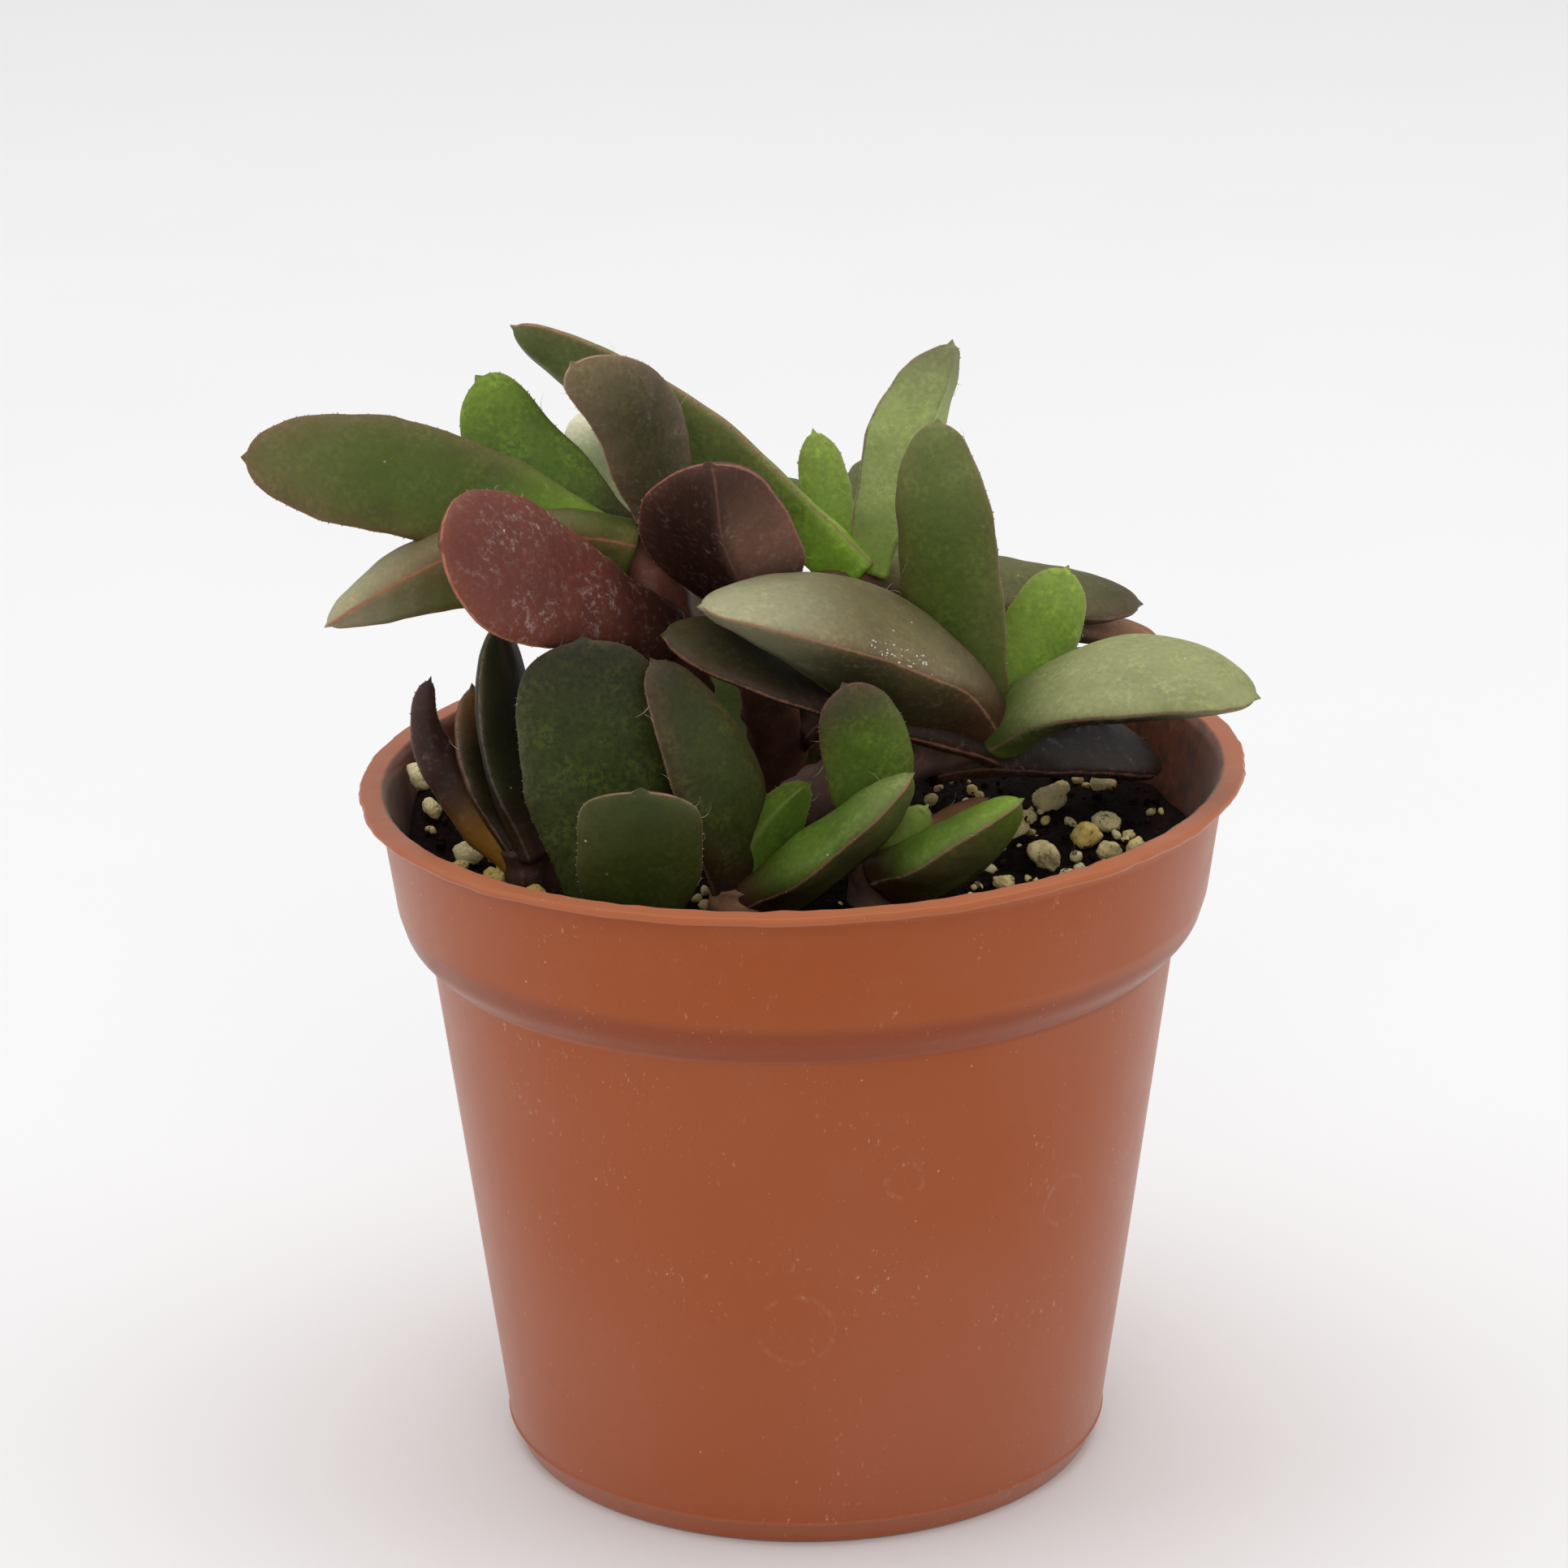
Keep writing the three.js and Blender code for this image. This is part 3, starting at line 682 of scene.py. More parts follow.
class Hue(Enum):
    """The colours that leaves are painted with: greens from dark to pale, then browns and reds. The first
    two are near blacks that paint shade on covered leaves, roots and undersides.
    """

    # Painted shade: a near black for covered leaves, roots and undersides.
    SHADE_BLACK = (12, 8, 6)
    # Painted shade: a near-black green for covered leaves and undersides.
    SHADE_GREEN_BLACK = (18, 20, 12)
    PINE = (38, 40, 14)
    BOTTLE = (50, 60, 14)
    MOSS = (72, 88, 28)
    LEAF = (84, 110, 34)
    GRASS = (106, 134, 40)
    SPRING = (132, 176, 50)
    LIME = (130, 154, 66)
    FERN = (108, 122, 64)
    OLIVE = (92, 94, 50)
    WILLOW = (146, 150, 100)
    SAGE = (162, 178, 106)
    MILK = (182, 194, 146)
    CREAM = (240, 236, 205)
    STRAW = (168, 168, 132)
    TAUPE = (104, 96, 64)
    BARK = (78, 68, 44)
    DUSK = (62, 60, 34)
    UMBER = (60, 36, 20)
    MAROON = (46, 24, 18)
    RUST = (98, 50, 41)
    PLUM = (76, 56, 48)
    MAUVE = (112, 82, 68)
    CLAY = (132, 94, 62)
    AMBER = (162, 112, 14)


@dataclass(frozen=True)
class Tones:
    """A leaf's colours, and how strongly its skin shows each kind of marking.

    Attributes:
        upper: Colour of the upper side.
        under: Colour of the underside.
        root: Colour near the stem.
        tip: Colour at the tip.
        horn: Colour of the margin line and the teeth.
        grain: Pale granular mottling.
        bloom: Whitish scurf.
        blush: How far the margin's colour runs into the blade.
        flank: Colour of the underside beyond the ridge, where it differs.
    """

    upper: Hue
    under: Hue
    root: Hue
    tip: Hue
    horn: Rgb = (152, 108, 88)
    grain: float = 0.5
    bloom: float = 0.1
    blush: float = 0.25
    flank: Hue | None = None


@dataclass(frozen=True)
class Stations:
    """Places along a leaf: centre, the three directions there, half its width and its thickness."""

    centre: np.ndarray
    heading: np.ndarray
    up: np.ndarray
    across: np.ndarray
    half: np.ndarray
    thick: np.ndarray


@dataclass(frozen=True)
class Leaf:
    """A thick strap leaf.

    Attributes:
        root: Where it leaves the stem.
        tip: Where it ends.
        face: Where its upper side looks.
        width: Greatest width.
        thick: Greatest thickness.
        tones: Its colours.
        arch: How far its middle bends to the face.
        arch_at: Where along the leaf it bends.
        sway: How far its middle bends sideways.
        neck: Width at the root, as a part of the full width.
        neck_end: Where the full width is reached.
        tip_start: Where the tip starts.
        blunt: How round the tip is.
        lean: How far the tip leans to one margin.
        keel: How sharp the ridge underneath is.
        keel_at: Where the ridge lies, -1 to 1 across.
        belly: How much deeper the underside is along its middle.
        wave: How far the margins wave up and down.
        crust: How many grains of dry crust lie near one margin.
    """

    root: Vec
    tip: Vec
    face: Vec
    width: float
    thick: float
    tones: Tones
    arch: float = 0.0
    arch_at: float = 0.5
    sway: float = 0.0
    neck: float = 0.55
    neck_end: float = 0.5
    tip_start: float = 0.55
    blunt: float = 2.2
    lean: float = 0.0
    keel: float = 0.5
    keel_at: float = 0.3
    belly: float = 1.0
    wave: float = 0.12
    crust: int = 0

    SIDES = 44
    THREADS = 4
    THREAD_COLOR = (206, 196, 182)
    TOOTH_SPACING = 0.95

    def stations(self, along: np.ndarray) -> Stations:
        """The leaf's centre line and size at parts of its length.

        The centre runs along a quadratic Bezier curve from root to tip, whose middle point is moved
        by twice the arch towards the face and twice the sway sideways, and the tip's part of it
        leans across by a power of its share. Half the width grows from the neck by a smooth step
        and closes at the tip as the root of one minus a power; the thickness thins in the same way.

        Args:
            along: Parts of the length, 0 to 1.

        Returns:
            One station for each part.
        """
        root, tip, face = (np.asarray(v, float) for v in (self.root, self.tip, self.face))
        axis = unit(tip - root)
        face = unit(face - axis * (face @ axis))
        side = np.cross(axis, face)
        middle = root + self.arch_at * (tip - root) + 2 * self.arch * face + 2 * self.sway * side
        t = along[:, None]
        centre = (1 - t) ** 2 * root + 2 * t * (1 - t) * middle + t**2 * tip
        heading = unit((1 - t) * (middle - root) + t * (tip - middle))
        up = unit(face - heading * (heading @ face)[:, None])
        across = np.cross(heading, up)
        share = np.clip((along - self.tip_start) / (1 - self.tip_start), 0, 1)
        thinning = np.clip((along - 0.6) / 0.4, 0, 1)
        centre = centre + across * (self.lean * self.width / 2 * share**2.2)[:, None]
        neck = self.neck + (1 - self.neck) * smoothstep(0, self.neck_end, along)
        half = self.width / 2 * neck * np.sqrt(1 - share**self.blunt) + 0.12
        thick = self.thick * (1 - 0.28 * along) * np.sqrt(1 - thinning**2.6) + 0.15
        return Stations(centre, heading, up, across, half, thick)

    def section(self, turn: np.ndarray) -> tuple[np.ndarray, np.ndarray]:
        """A cross-section as parts of half the width and of the thickness.

        The upper side is a shallow sine to a power just under one. Underneath, a rounded belly and
        a straight-sided ridge are added by the keel's share.

        Args:
            turn: Angles round the section, 0 at one margin.

        Returns:
            Place across and height, for each angle.
        """
        rise = np.sin(turn)
        upper = UPPER_SHARE * np.abs(rise) ** 0.9
        across = np.cos(turn) + np.where(rise < 0, self.keel_at * rise**2, 0)
        ridge = np.where(
            across < self.keel_at, (1 + across) / (1 + self.keel_at), (1 - across) / (1 - self.keel_at)
        )
        under = (1 - self.keel) * np.abs(rise) ** 0.8 + self.keel * ridge
        return across, np.where(rise >= 0, upper, -(1 - UPPER_SHARE) * under)

    def waves(self, along: np.ndarray, across: np.ndarray, seed: int) -> np.ndarray:
        """How far the blade lifts: a sine along it that grows with the cube of the place across."""
        return self.wave * across**3 * np.sin(9 * along + seed) * smoothstep(0.05, 0.3, along)

    def swell(self, places: np.ndarray, along: np.ndarray, seed: int) -> np.ndarray:
        """How far the skin stands out at places: two layers of ripples that calm at both ends."""
        layers = 0.13 * ripple(places, 9.0, seed) + 0.045 * ripple(places, 3.2, seed + 1)
        return layers * smoothstep(0, 0.06, along) * (1 - smoothstep(0.93, 1, along))

    def blade(self, seed: int) -> Patch:
        """The leaf's skin as a grid round it and along it, with its marks.

        Each ring is the cross-section at its station, its underside deepened by the belly times a
        sine of the part of the length, and moved outwards by the swell.

        Args:
            seed: Which small irregularities it has.

        Returns:
            The closed patch.
        """
        length = float(np.linalg.norm(np.subtract(self.tip, self.root)))
        rows = int(np.clip(length / 0.28, 50, 150))
        along = np.minimum(1 - (1 - np.linspace(0, 1, rows)) ** 1.6, 0.9985)
        turn = np.linspace(0, 2 * np.pi, self.SIDES, endpoint=False)
        at = self.stations(along)
        x, y = self.section(turn)
        depth = 1 + (self.belly - 1) * np.sin(np.pi * along**0.7)
        y = np.where(y < 0, y * depth[:, None], y)
        side = np.clip(np.sin(turn) * 5, -1, 1)
        inwards = at.half[:, None] * (1 - np.abs(np.clip(x, -1, 1)))
        edge = np.hypot(inwards, at.thick[:, None] * y)
        bead = 0.06 * np.exp(-((edge / 0.25) ** 2)) * side
        lift = at.thick[:, None] * y + bead + self.waves(along[:, None], x, seed)
        rings = at.centre[:, None] + at.across[:, None] * (at.half[:, None] * x)[..., None]
        rings = rings + at.up[:, None] * lift[..., None]
        outward = unit(rings - at.centre[:, None])
        rings = rings + outward * self.swell(rings, along[:, None], seed)[..., None]
        end = at.centre[-1] + at.heading[-1] * 0.6
        patch = closed_skin(rings, np.asarray(self.root, float), end)
        return self.coloured(patch, along, np.sin(turn), edge, (x - self.keel_at) * at.half[:, None])

    def coloured(
        self, patch: Patch, along: np.ndarray, rise: np.ndarray, edge: np.ndarray, ridge: np.ndarray
    ) -> Patch:
        """The blade with its marks.

        The tone runs from the root's colour to the side's own and on to the tip's, and the margin's
        colour bleeds in by a falling exponential of the distance to the margin.

        Args:
            patch: The blade.
            along: Part of the length of each ring.
            rise: Sine of each point's angle, above 0 on the upper side.
            edge: Distance from the margin.
            ridge: Distance across from the keel, below 0 beyond it.

        Returns:
            The same patch.
        """
        tones = self.tones
        upper, under, root, tip, horn = (
            linear(c)
            for c in (tones.upper.value, tones.under.value, tones.root.value, tones.tip.value, tones.horn)
        )
        top = smoothstep(-0.1, 0.1, rise)[None, :, None]
        if tones.flank is not None:
            beyond = smoothstep(0.25, -0.25, ridge)[..., None]
            under = under + (linear(tones.flank.value) - under) * beyond
        middle = upper * top + under * (1 - top)
        early = (1 - smoothstep(0.04, 0.42, along))[:, None, None]
        late = (smoothstep(0.62, 1.0, along))[:, None, None]
        tone = middle * (1 - early) + root * early
        tone = tone * (1 - late) + (tip * (0.6 + 0.4 * top)) * late
        bleed = tones.blush * np.exp(-edge / 1.6)[..., None]
        tone = tone * (1 - bleed) + horn * 0.8 * bleed
        keel_line = np.where(rise[None] < 0, np.abs(ridge), FAR) + FAR * (self.keel < 0.7)

        def closed(grid: np.ndarray) -> np.ndarray:
            """A grid of values as one row per point, the poles taking their ring's mean."""
            flat = grid.reshape(-1, grid.shape[-1]) if grid.ndim == 3 else grid.ravel()
            ends = grid[0].mean(0, keepdims=True), grid[-1].mean(0, keepdims=True)
            return np.concatenate([flat, *ends])

        ones = np.ones_like(edge)
        return patch.marked(
            tone=closed(tone), horn=closed(ones[..., None] * horn),
            edge=closed(edge), ridge=closed(keel_line),
            grain=closed(ones * tones.grain), bloom=closed(tones.bloom * (ones - 0.7 * late[..., 0])),
        )

    def litter(self, seed: int) -> Patch:
        """Stray threads that stand on the margins, and grains of dry crust where the leaf has them.

        A place on the upper side is found from its angle round the section, as in the blade.

        Args:
            seed: Where they lie.

        Returns:
            All of them as one patch.
        """
        rng = np.random.default_rng(seed + 5)
        pale = linear(self.THREAD_COLOR)
        threads = self.THREADS
        along = rng.uniform(0.3, 0.95, threads + self.crust)
        along[threads:] = rng.uniform(0.42, 0.62, self.crust)
        turn = np.where(rng.random(len(along)) < 0.5, 0.05, np.pi - 0.05)
        turn[threads:] = np.pi - rng.uniform(0.2, 0.75, self.crust) ** 1.5
        at = self.stations(along)
        x = np.cos(turn)
        lift = at.thick * UPPER_SHARE * np.sin(turn) ** 0.9 + self.waves(along, x, seed)
        places = at.centre + at.across * (at.half * x)[:, None] + at.up * lift[:, None]
        places = places + unit(places - at.centre) * self.swell(places, along, seed)[:, None]
        axes = np.linalg.qr(rng.normal(size=(threads, 3, 3)))[0]
        axes = axes * rng.uniform(0.8, 1.7, (threads, 1, 1))
        patches = [scattered(fibre(0.5), axes, places[:threads])]
        if self.crust:
            size = rng.uniform(0.06, 0.22, (self.crust, 1)) * rng.uniform(0.6, 1, (self.crust, 3))
            grain = lump(rng, 4, 6, 4, 0.6)
            patches.append(scattered(grain, random_frames(rng, size), places[threads:]))
        made = Patch.joined(patches)
        return made.marked(tone=pale, horn=pale, edge=FAR, ridge=FAR, grain=0.0, bloom=0.0)

    def teeth(self, seed: int) -> Patch:
        """The tiny horny teeth that stand along both margins.

        Args:
            seed: Where they stand and how large they are.

        Returns:
            All teeth as one patch.
        """
        rng = np.random.default_rng(seed)
        length = float(np.linalg.norm(np.subtract(self.tip, self.root)))
        count = int(length / self.TOOTH_SPACING)
        along = np.linspace(0.14, 0.985, count) + rng.uniform(-0.4, 0.4, count) / length
        along = np.clip(along, 0.1, 0.99)
        both = np.concatenate([along, along])
        at = self.stations(both)
        way = np.repeat([1.0, -1.0], count)[:, None]
        out = unit(at.across * way + 0.35 * at.heading + rng.normal(0, 0.16, (2 * count, 3)))
        wide = rng.uniform(0.06, 0.11, 2 * count)[:, None]
        tall = rng.uniform(0.1, 0.28, 2 * count)[:, None]
        aside = unit(np.cross(out, at.up))
        frames = np.stack([aside * wide, np.cross(out, aside) * wide, out * tall], -1)
        places = at.centre + at.across * way * at.half[:, None]
        places = places + at.up * self.waves(both, way[:, 0], seed)[:, None]
        outward = unit(places - at.centre)
        places = places + outward * (self.swell(places, both, seed) - 0.04)[:, None]
        turn = np.arange(5) * 1.2566
        ring = np.stack([np.cos(turn), np.sin(turn), np.zeros(5)], -1)
        cone = closed_skin(ring[None], np.array([0, 0, -0.3]), np.array([0, 0, 1.0]))
        horn = linear(self.tones.horn) * 1.15
        cone.marked(tone=horn, horn=horn, edge=0.0, ridge=FAR, grain=0.0, bloom=0.3)
        return scattered(cone, frames, places)


def fibre(bend: float) -> Patch:
    """A thin curved thread about 1 long from its foot at the origin, as a tube of five rings."""
    rise = np.linspace(0, 1, 5)
    middle = np.stack([bend * rise**2, 0.3 * bend * np.sin(3 * rise), rise], -1)
    turn = np.arange(4) * np.pi / 2
    ring = np.stack([np.cos(turn), np.sin(turn), 0 * turn], -1) * 0.014
    rings = middle[:, None] + ring[None] * (1.2 - rise)[:, None, None]
    return closed_skin(rings, middle[0], middle[-1] + [0, 0, 0.02])


@dataclass(frozen=True)
class Stem:
    """A short stem with rings of old leaf scars, thicker towards its crown.

    Attributes:
        course: Four places that its middle runs through.
        radii: Radius at its lower and its upper end.
        color: Colour of its skin.
    """

    course: tuple[Vec, Vec, Vec, Vec]
    radii: tuple[float, float]
    color: Rgb

    def rod(self, seed: int) -> Patch:
        """The stem's skin: rings round its course, whose radius swells at every scar.

        The radius runs in a straight line from one end's to the other's, times one plus a small
        sine of the place along and soft noise.

        Args:
            seed: Which irregularities it has.

        Returns:
            The closed patch with its marks.
        """
        course = np.asarray(self.course, float)
        along = np.linspace(0, 1, 46)
        turn = np.linspace(0, 2 * np.pi, 32, endpoint=False)
        centre = course_points(course, along)
        heading = unit(np.gradient(centre, axis=0))
        across = unit(np.cross([0.0, 1.0, 0.0], heading))
        up = np.cross(heading, across)
        radius = self.radii[0] + (self.radii[1] - self.radii[0]) * along
        scars = 1 + 0.035 * np.sin(along * np.linalg.norm(course[3] - course[0]) * 2.4)
        ways = across[:, None] * np.cos(turn)[:, None] + up[:, None] * np.sin(turn)[:, None]
        rings = centre[:, None] + ways * (radius * scars)[:, None, None]
        rings = rings + ways * (0.12 * ripple(rings, 3.0, seed))[..., None]
        patch = closed_skin(rings, centre[0], centre[-1] + heading[-1])
        skin = linear(self.color) * (0.9 + 0.25 * ripple(patch.points, 4.0, seed + 7))[:, None]
        return patch.marked(
            tone=np.clip(skin, 0.004, 1), horn=linear(self.color),
            edge=FAR, ridge=FAR, grain=0.35, bloom=0.3,
        )


@dataclass(frozen=True)
class Shoot:
    """One stem with its leaves, which stands for the solid of the same name.

    Attributes:
        name: The solid's name.
        slot: The record's material slot.
        stem: Its stem.
        leaves: Its leaves.
    """

    name: str
    slot: str
    stem: Stem
    leaves: tuple[Leaf, ...]

    def build(self, seed: int) -> bpy.types.Object:
        """Builds the shoot as one piece that rides with the pot.

        Args:
            seed: First number of its leaves' draws.

        Returns:
            The new object.
        """
        patches = [self.stem.rod(seed)]
        for i, leaf in enumerate(self.leaves):
            own = seed + 10 * i
            patches += [leaf.blade(own), leaf.teeth(own), leaf.litter(own)]
        piece = Patch.joined(patches).to_object(f"{self.name}_skin", LeafFinish(self.slot).material())
        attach(piece, BODY)
        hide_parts(self.name)
        return piece


# Colours of leaves that the front view hardly shows. The second set is darker and paints the shade on the
# low leaves under the others.
GREEN = Tones(Hue.MOSS, Hue.OLIVE, Hue.FERN, Hue.LEAF)
SHADED = Tones(Hue.DUSK, Hue.PINE, Hue.UMBER, Hue.DUSK)

SHOOTS = (
    Shoot(
        "shoot_left", "leaf_left",
        Stem(((-9, 4, 48), (-10, 2, 66), (-12.5, 0, 80), (-15.8, 3.5, 91)), (2.6, 3.7), (104, 62, 48)),
        (
            Leaf((-16.2, 0, 89.5), (-51.5, -5, 101.5), (0.1, -0.85, 0.5), 11, 5,
                 Tones(Hue.MOSS, Hue.MOSS, Hue.SPRING, Hue.OLIVE, (136, 88, 74), 0.4, 0.12, 0.5),
                 sway=1.5, blunt=2.6, tip_start=0.6, lean=-0.1, neck=0.5),
            Leaf((-16.5, 3.5, 90), (-32, 9, 103.5), (0.2, -0.9, 0.3), 8.5, 4,
                 Tones(Hue.LEAF, Hue.LEAF, Hue.DUSK, Hue.GRASS, (152, 114, 92), 0.9, 0.06, 0.1),
                 sway=-0.7, blunt=3, tip_start=0.6, lean=0.45),
            Leaf((-16, 4, 89), (-20.5, 16, 99.5), (0.2, -0.9, 0.3), 8, 4,
                 Tones(Hue.MILK, Hue.MILK, Hue.SAGE, Hue.CREAM, (158, 130, 104), 0.3, 0.2)),
            Leaf((-12.5, 1, 90), (-18.5, -4, 111.5), (0.3, -0.8, 0.5), 8.8, 4.2,
                 Tones(Hue.DUSK, Hue.BARK, Hue.DUSK, Hue.TAUPE, (172, 134, 114), 0.55, 0.3, 0.35),
                 sway=1.4, blunt=2.4, tip_start=0.5, lean=-0.75, wave=0.25),
            Leaf((-12.5, -2.5, 82.5), (-32.5, -20, 96.5), (-0.15, -0.75, 0.6), 14.6, 6.5,
                 Tones(Hue.RUST, Hue.PLUM, Hue.MAROON, Hue.RUST, (176, 108, 82), 0.3, 1.15, 0.3),
                 sway=0.8, blunt=3.2, tip_start=0.58, neck=0.4, neck_end=0.75),
            Leaf((-16, 0, 91), (-44.2, -8, 85.6), (0.1, 0.13, 0.98), 8.4, 6.2,
                 Tones(Hue.TAUPE, Hue.OLIVE, Hue.MOSS, Hue.STRAW, (166, 108, 76), 0.3, 0.4, 0.3),
                 arch=4.1, blunt=1.6, tip_start=0.3, keel=0.8, keel_at=-0.5, belly=1.8),
            Leaf((-15.5, 4, 89.5), (-30, 25, 90), (-0.1, 0.2, 0.95), 9, 4.5, GREEN, arch=2),
            Leaf((-14.5, 4, 90), (-17, 27, 96.5), (-0.1, -0.3, 0.9), 8, 4, GREEN, arch=1),
            Leaf((-11, 1.5, 72), (-27, 16, 72), (-0.2, 0.2, 0.95), 9.5, 4.5, SHADED, arch=2),
            Leaf((-9.5, 3.5, 63), (-22, 14, 66.5), (-0.2, -0.1, 0.95), 9, 4.5, SHADED, arch=1),
        ),
    ),
    Shoot(
        "shoot_middle", "leaf_middle",
        Stem(((-1, 9, 48), (-2, 7, 66), (-2.5, 2, 79.5), (6, 6.5, 86)), (2.5, 3), (112, 74, 58)),
        (
            Leaf((6, 5, 86), (-27, 10, 109.5), (0.41, 0.71, 0.57), 10, 4.2,
                 Tones(Hue.FERN, Hue.FERN, Hue.SPRING, Hue.FERN, (154, 112, 90), 0.55, 0.12, 0.2),
                 arch=1.6, blunt=2.4, wave=0.2),
            Leaf((4.5, 8.5, 85.5), (1.5, 13, 98), (0, -1, 0.2), 4.5, 3,
                 Tones(Hue.LIME, Hue.LIME, Hue.LIME, Hue.LIME, (160, 110, 92), 0.6, 0.05, 0.1)),
            Leaf((6.5, 5, 86.5), (12.3, 8, 108.4), (-0.3, 0.9, 0.2), 7.5, 5,
                 Tones(Hue.SAGE, Hue.SAGE, Hue.LIME, Hue.WILLOW, (134, 112, 92), 0.45, 0.2, 0.15),
                 sway=-0.2, lean=-0.7, keel=0.9, keel_at=-0.3),
            Leaf((-3, 1, 82), (-11, -11, 101.3), (0.23, 0.87, 0.4), 15.2, 7.3,
                 Tones(Hue.UMBER, Hue.MAROON, Hue.MAROON, Hue.UMBER, (146, 96, 82), 0.3, 0.45, 0.3,
                       flank=Hue.MAUVE),
                 neck=0.38, blunt=2.6, lean=-0.4, keel=0.95, keel_at=-0.3),
            Leaf((6, 6, 85.5), (33, 12, 80.9), (0.1, -0.4, 0.9), 7.5, 4.5,
                 Tones(Hue.OLIVE, Hue.DUSK, Hue.TAUPE, Hue.DUSK, (140, 106, 92), 0.4, 0.25, 0.3),
                 arch=0.6),
            Leaf((7, 7, 85.5), (35, 14, 76.7), (0.1, -0.3, 0.9), 4.2, 3.6,
                 Tones(Hue.MAUVE, Hue.PLUM, Hue.MAUVE, Hue.CLAY, (130, 96, 76), 0.4, 0.5, 0.3),
                 blunt=4, tip_start=0.8),
            Leaf((5, 8, 86), (-7, 31, 88), (0.2, -0.3, 0.9), 9.5, 4.5, GREEN, arch=2),
            Leaf((6.3, 6.8, 85.2), (12, 36, 89), (0, -0.3, 0.9), 10, 4.5, GREEN, arch=3),
            Leaf((6.5, 6.5, 85), (22, 27, 77), (-0.2, -0.2, 0.9), 9, 4.5, GREEN, arch=3),
            Leaf((-2, 5, 72.5), (-10, 27, 81), (0.1, -0.4, 0.9), 9, 4.5, SHADED, arch=1.5),
            Leaf((-1.5, 6, 70), (15, 23, 74), (-0.2, -0.2, 0.9), 9.5, 4.5, SHADED, arch=2),
        ),
    ),
    Shoot(
        "shoot_right", "leaf_right",
        Stem(((-4, 1, 48), (-2.5, -1, 62), (5, -2.5, 68.5), (18.5, -3.5, 74)), (2.2, 3.2), (128, 100, 90)),
        (
            Leaf((17, -4, 74), (13, -6, 104), (-0.15, -0.95, 0.2), 9.2, 4.5,
                 Tones(Hue.MOSS, Hue.MOSS, Hue.MOSS, Hue.FERN, (144, 108, 88), 0.55, 0.12, 0.3),
                 sway=-0.9, neck=0.75),
            Leaf((18.5, -6, 74.2), (-9, -16.6, 89.6), (0.25, -0.22, 0.93), 12.4, 5.5,
                 Tones(Hue.TAUPE, Hue.DUSK, Hue.UMBER, Hue.STRAW, (158, 116, 90), 0.4, 0.3, 0.2),
                 arch=5.3, arch_at=0.42, neck=0.4, neck_end=0.45, keel=0.85, keel_at=-0.5, belly=2.5,
                 wave=0.3, crust=48),
            # Its near-black underside is painted shade.
            Leaf((18.5, -5, 74), (42.5, -12, 79), (-0.1, -0.3, 0.95), 12, 5,
                 Tones(Hue.WILLOW, Hue.SHADE_GREEN_BLACK, Hue.MOSS, Hue.WILLOW, (120, 92, 74), 0.45, 0.35, 0.1),
                 arch=4, neck=0.7, wave=0.2),
            Leaf((19, -2, 73.5), (25.5, 3, 87), (0.2, -0.9, 0.3), 7.3, 3.5,
                 Tones(Hue.GRASS, Hue.GRASS, Hue.GRASS, Hue.LIME, (150, 122, 92), 0.7, 0.05, 0.1),
                 blunt=2.6),
            # Painted shade: this low leaf under its neighbours is coloured near black all over.
            Leaf((12, -2, 70), (35, 10, 65.5), (0, -0.4, 0.9), 10.5, 4.5,
                 Tones(Hue.SHADE_BLACK, Hue.SHADE_BLACK, Hue.UMBER, Hue.SHADE_BLACK, (120, 86, 72), 0.2, 0.25, 0.2),
                 arch=2.5),
            # Painted shade: this leaf lies under the long arched one and is coloured near black.
            Leaf((18.5, -5.5, 72.5), (-12.5, -13, 85.7), (0.2, -0.35, 0.9), 11, 5,
                 Tones(Hue.SHADE_GREEN_BLACK, Hue.SHADE_GREEN_BLACK, Hue.SHADE_BLACK, Hue.DUSK, (142, 96, 78), 0.45, 0.2, 0.2),
                 arch=1),
            Leaf((18, -2, 73), (33, 20, 73), (-0.2, -0.2, 0.9), 8.5, 4, SHADED, arch=2),
        ),
    ),
    Shoot(
        "shoot_front_left", "leaf_front_left",
        Stem(((-16.5, -24, 48), (-16.5, -24, 53), (-16.5, -24, 57), (-16.5, -24, 62)),
             (3, 4.6), (86, 76, 50)),
        (
            # Painted shade: both leaves lie in shade from above and are given dark greens for it.
            Leaf((-17.5, -20.5, 60.5), (-20, -17, 86.5), (0.05, -0.98, 0.15), 13.7, 5.5,
                 Tones(Hue.BOTTLE, Hue.PINE, Hue.BOTTLE, Hue.PINE, (92, 76, 62), 1.4, 0.1, 0.25),
                 blunt=3.6, tip_start=0.65),
            Leaf((-15.2, -27.5, 61), (-14.5, -31, 76.5), (0, -1, 0.15), 11.3, 5,
                 Tones(Hue.BOTTLE, Hue.BOTTLE, Hue.BOTTLE, Hue.BOTTLE, (140, 104, 84), 0.5, 0.08, 0.15),
                 blunt=4.5, tip_start=0.66),
        ),
    ),
    Shoot(
        "shoot_left_edge", "leaf_left_edge",
        Stem(((-24.5, -9, 48), (-24.7, -9, 53), (-25, -9, 58), (-25.8, -9, 64)), (2.2, 3), (80, 56, 44)),
        (
            Leaf((-25, -9, 61.5), (-35.9, -5, 79.2), (0.3, -0.9, 0.3), 5.9, 4.2,
                 Tones(Hue.MAROON, Hue.UMBER, Hue.AMBER, Hue.PLUM, (110, 76, 66), 0.2, 0.3, 0.2),
                 sway=-2.7, arch_at=0.78, neck=0.8, neck_end=0.3, blunt=0.58, tip_start=0.2, lean=0.3),
            Leaf((-26.5, -9, 63.5), (-31, -6, 78.5), (0.85, -0.45, 0.2), 8, 4,
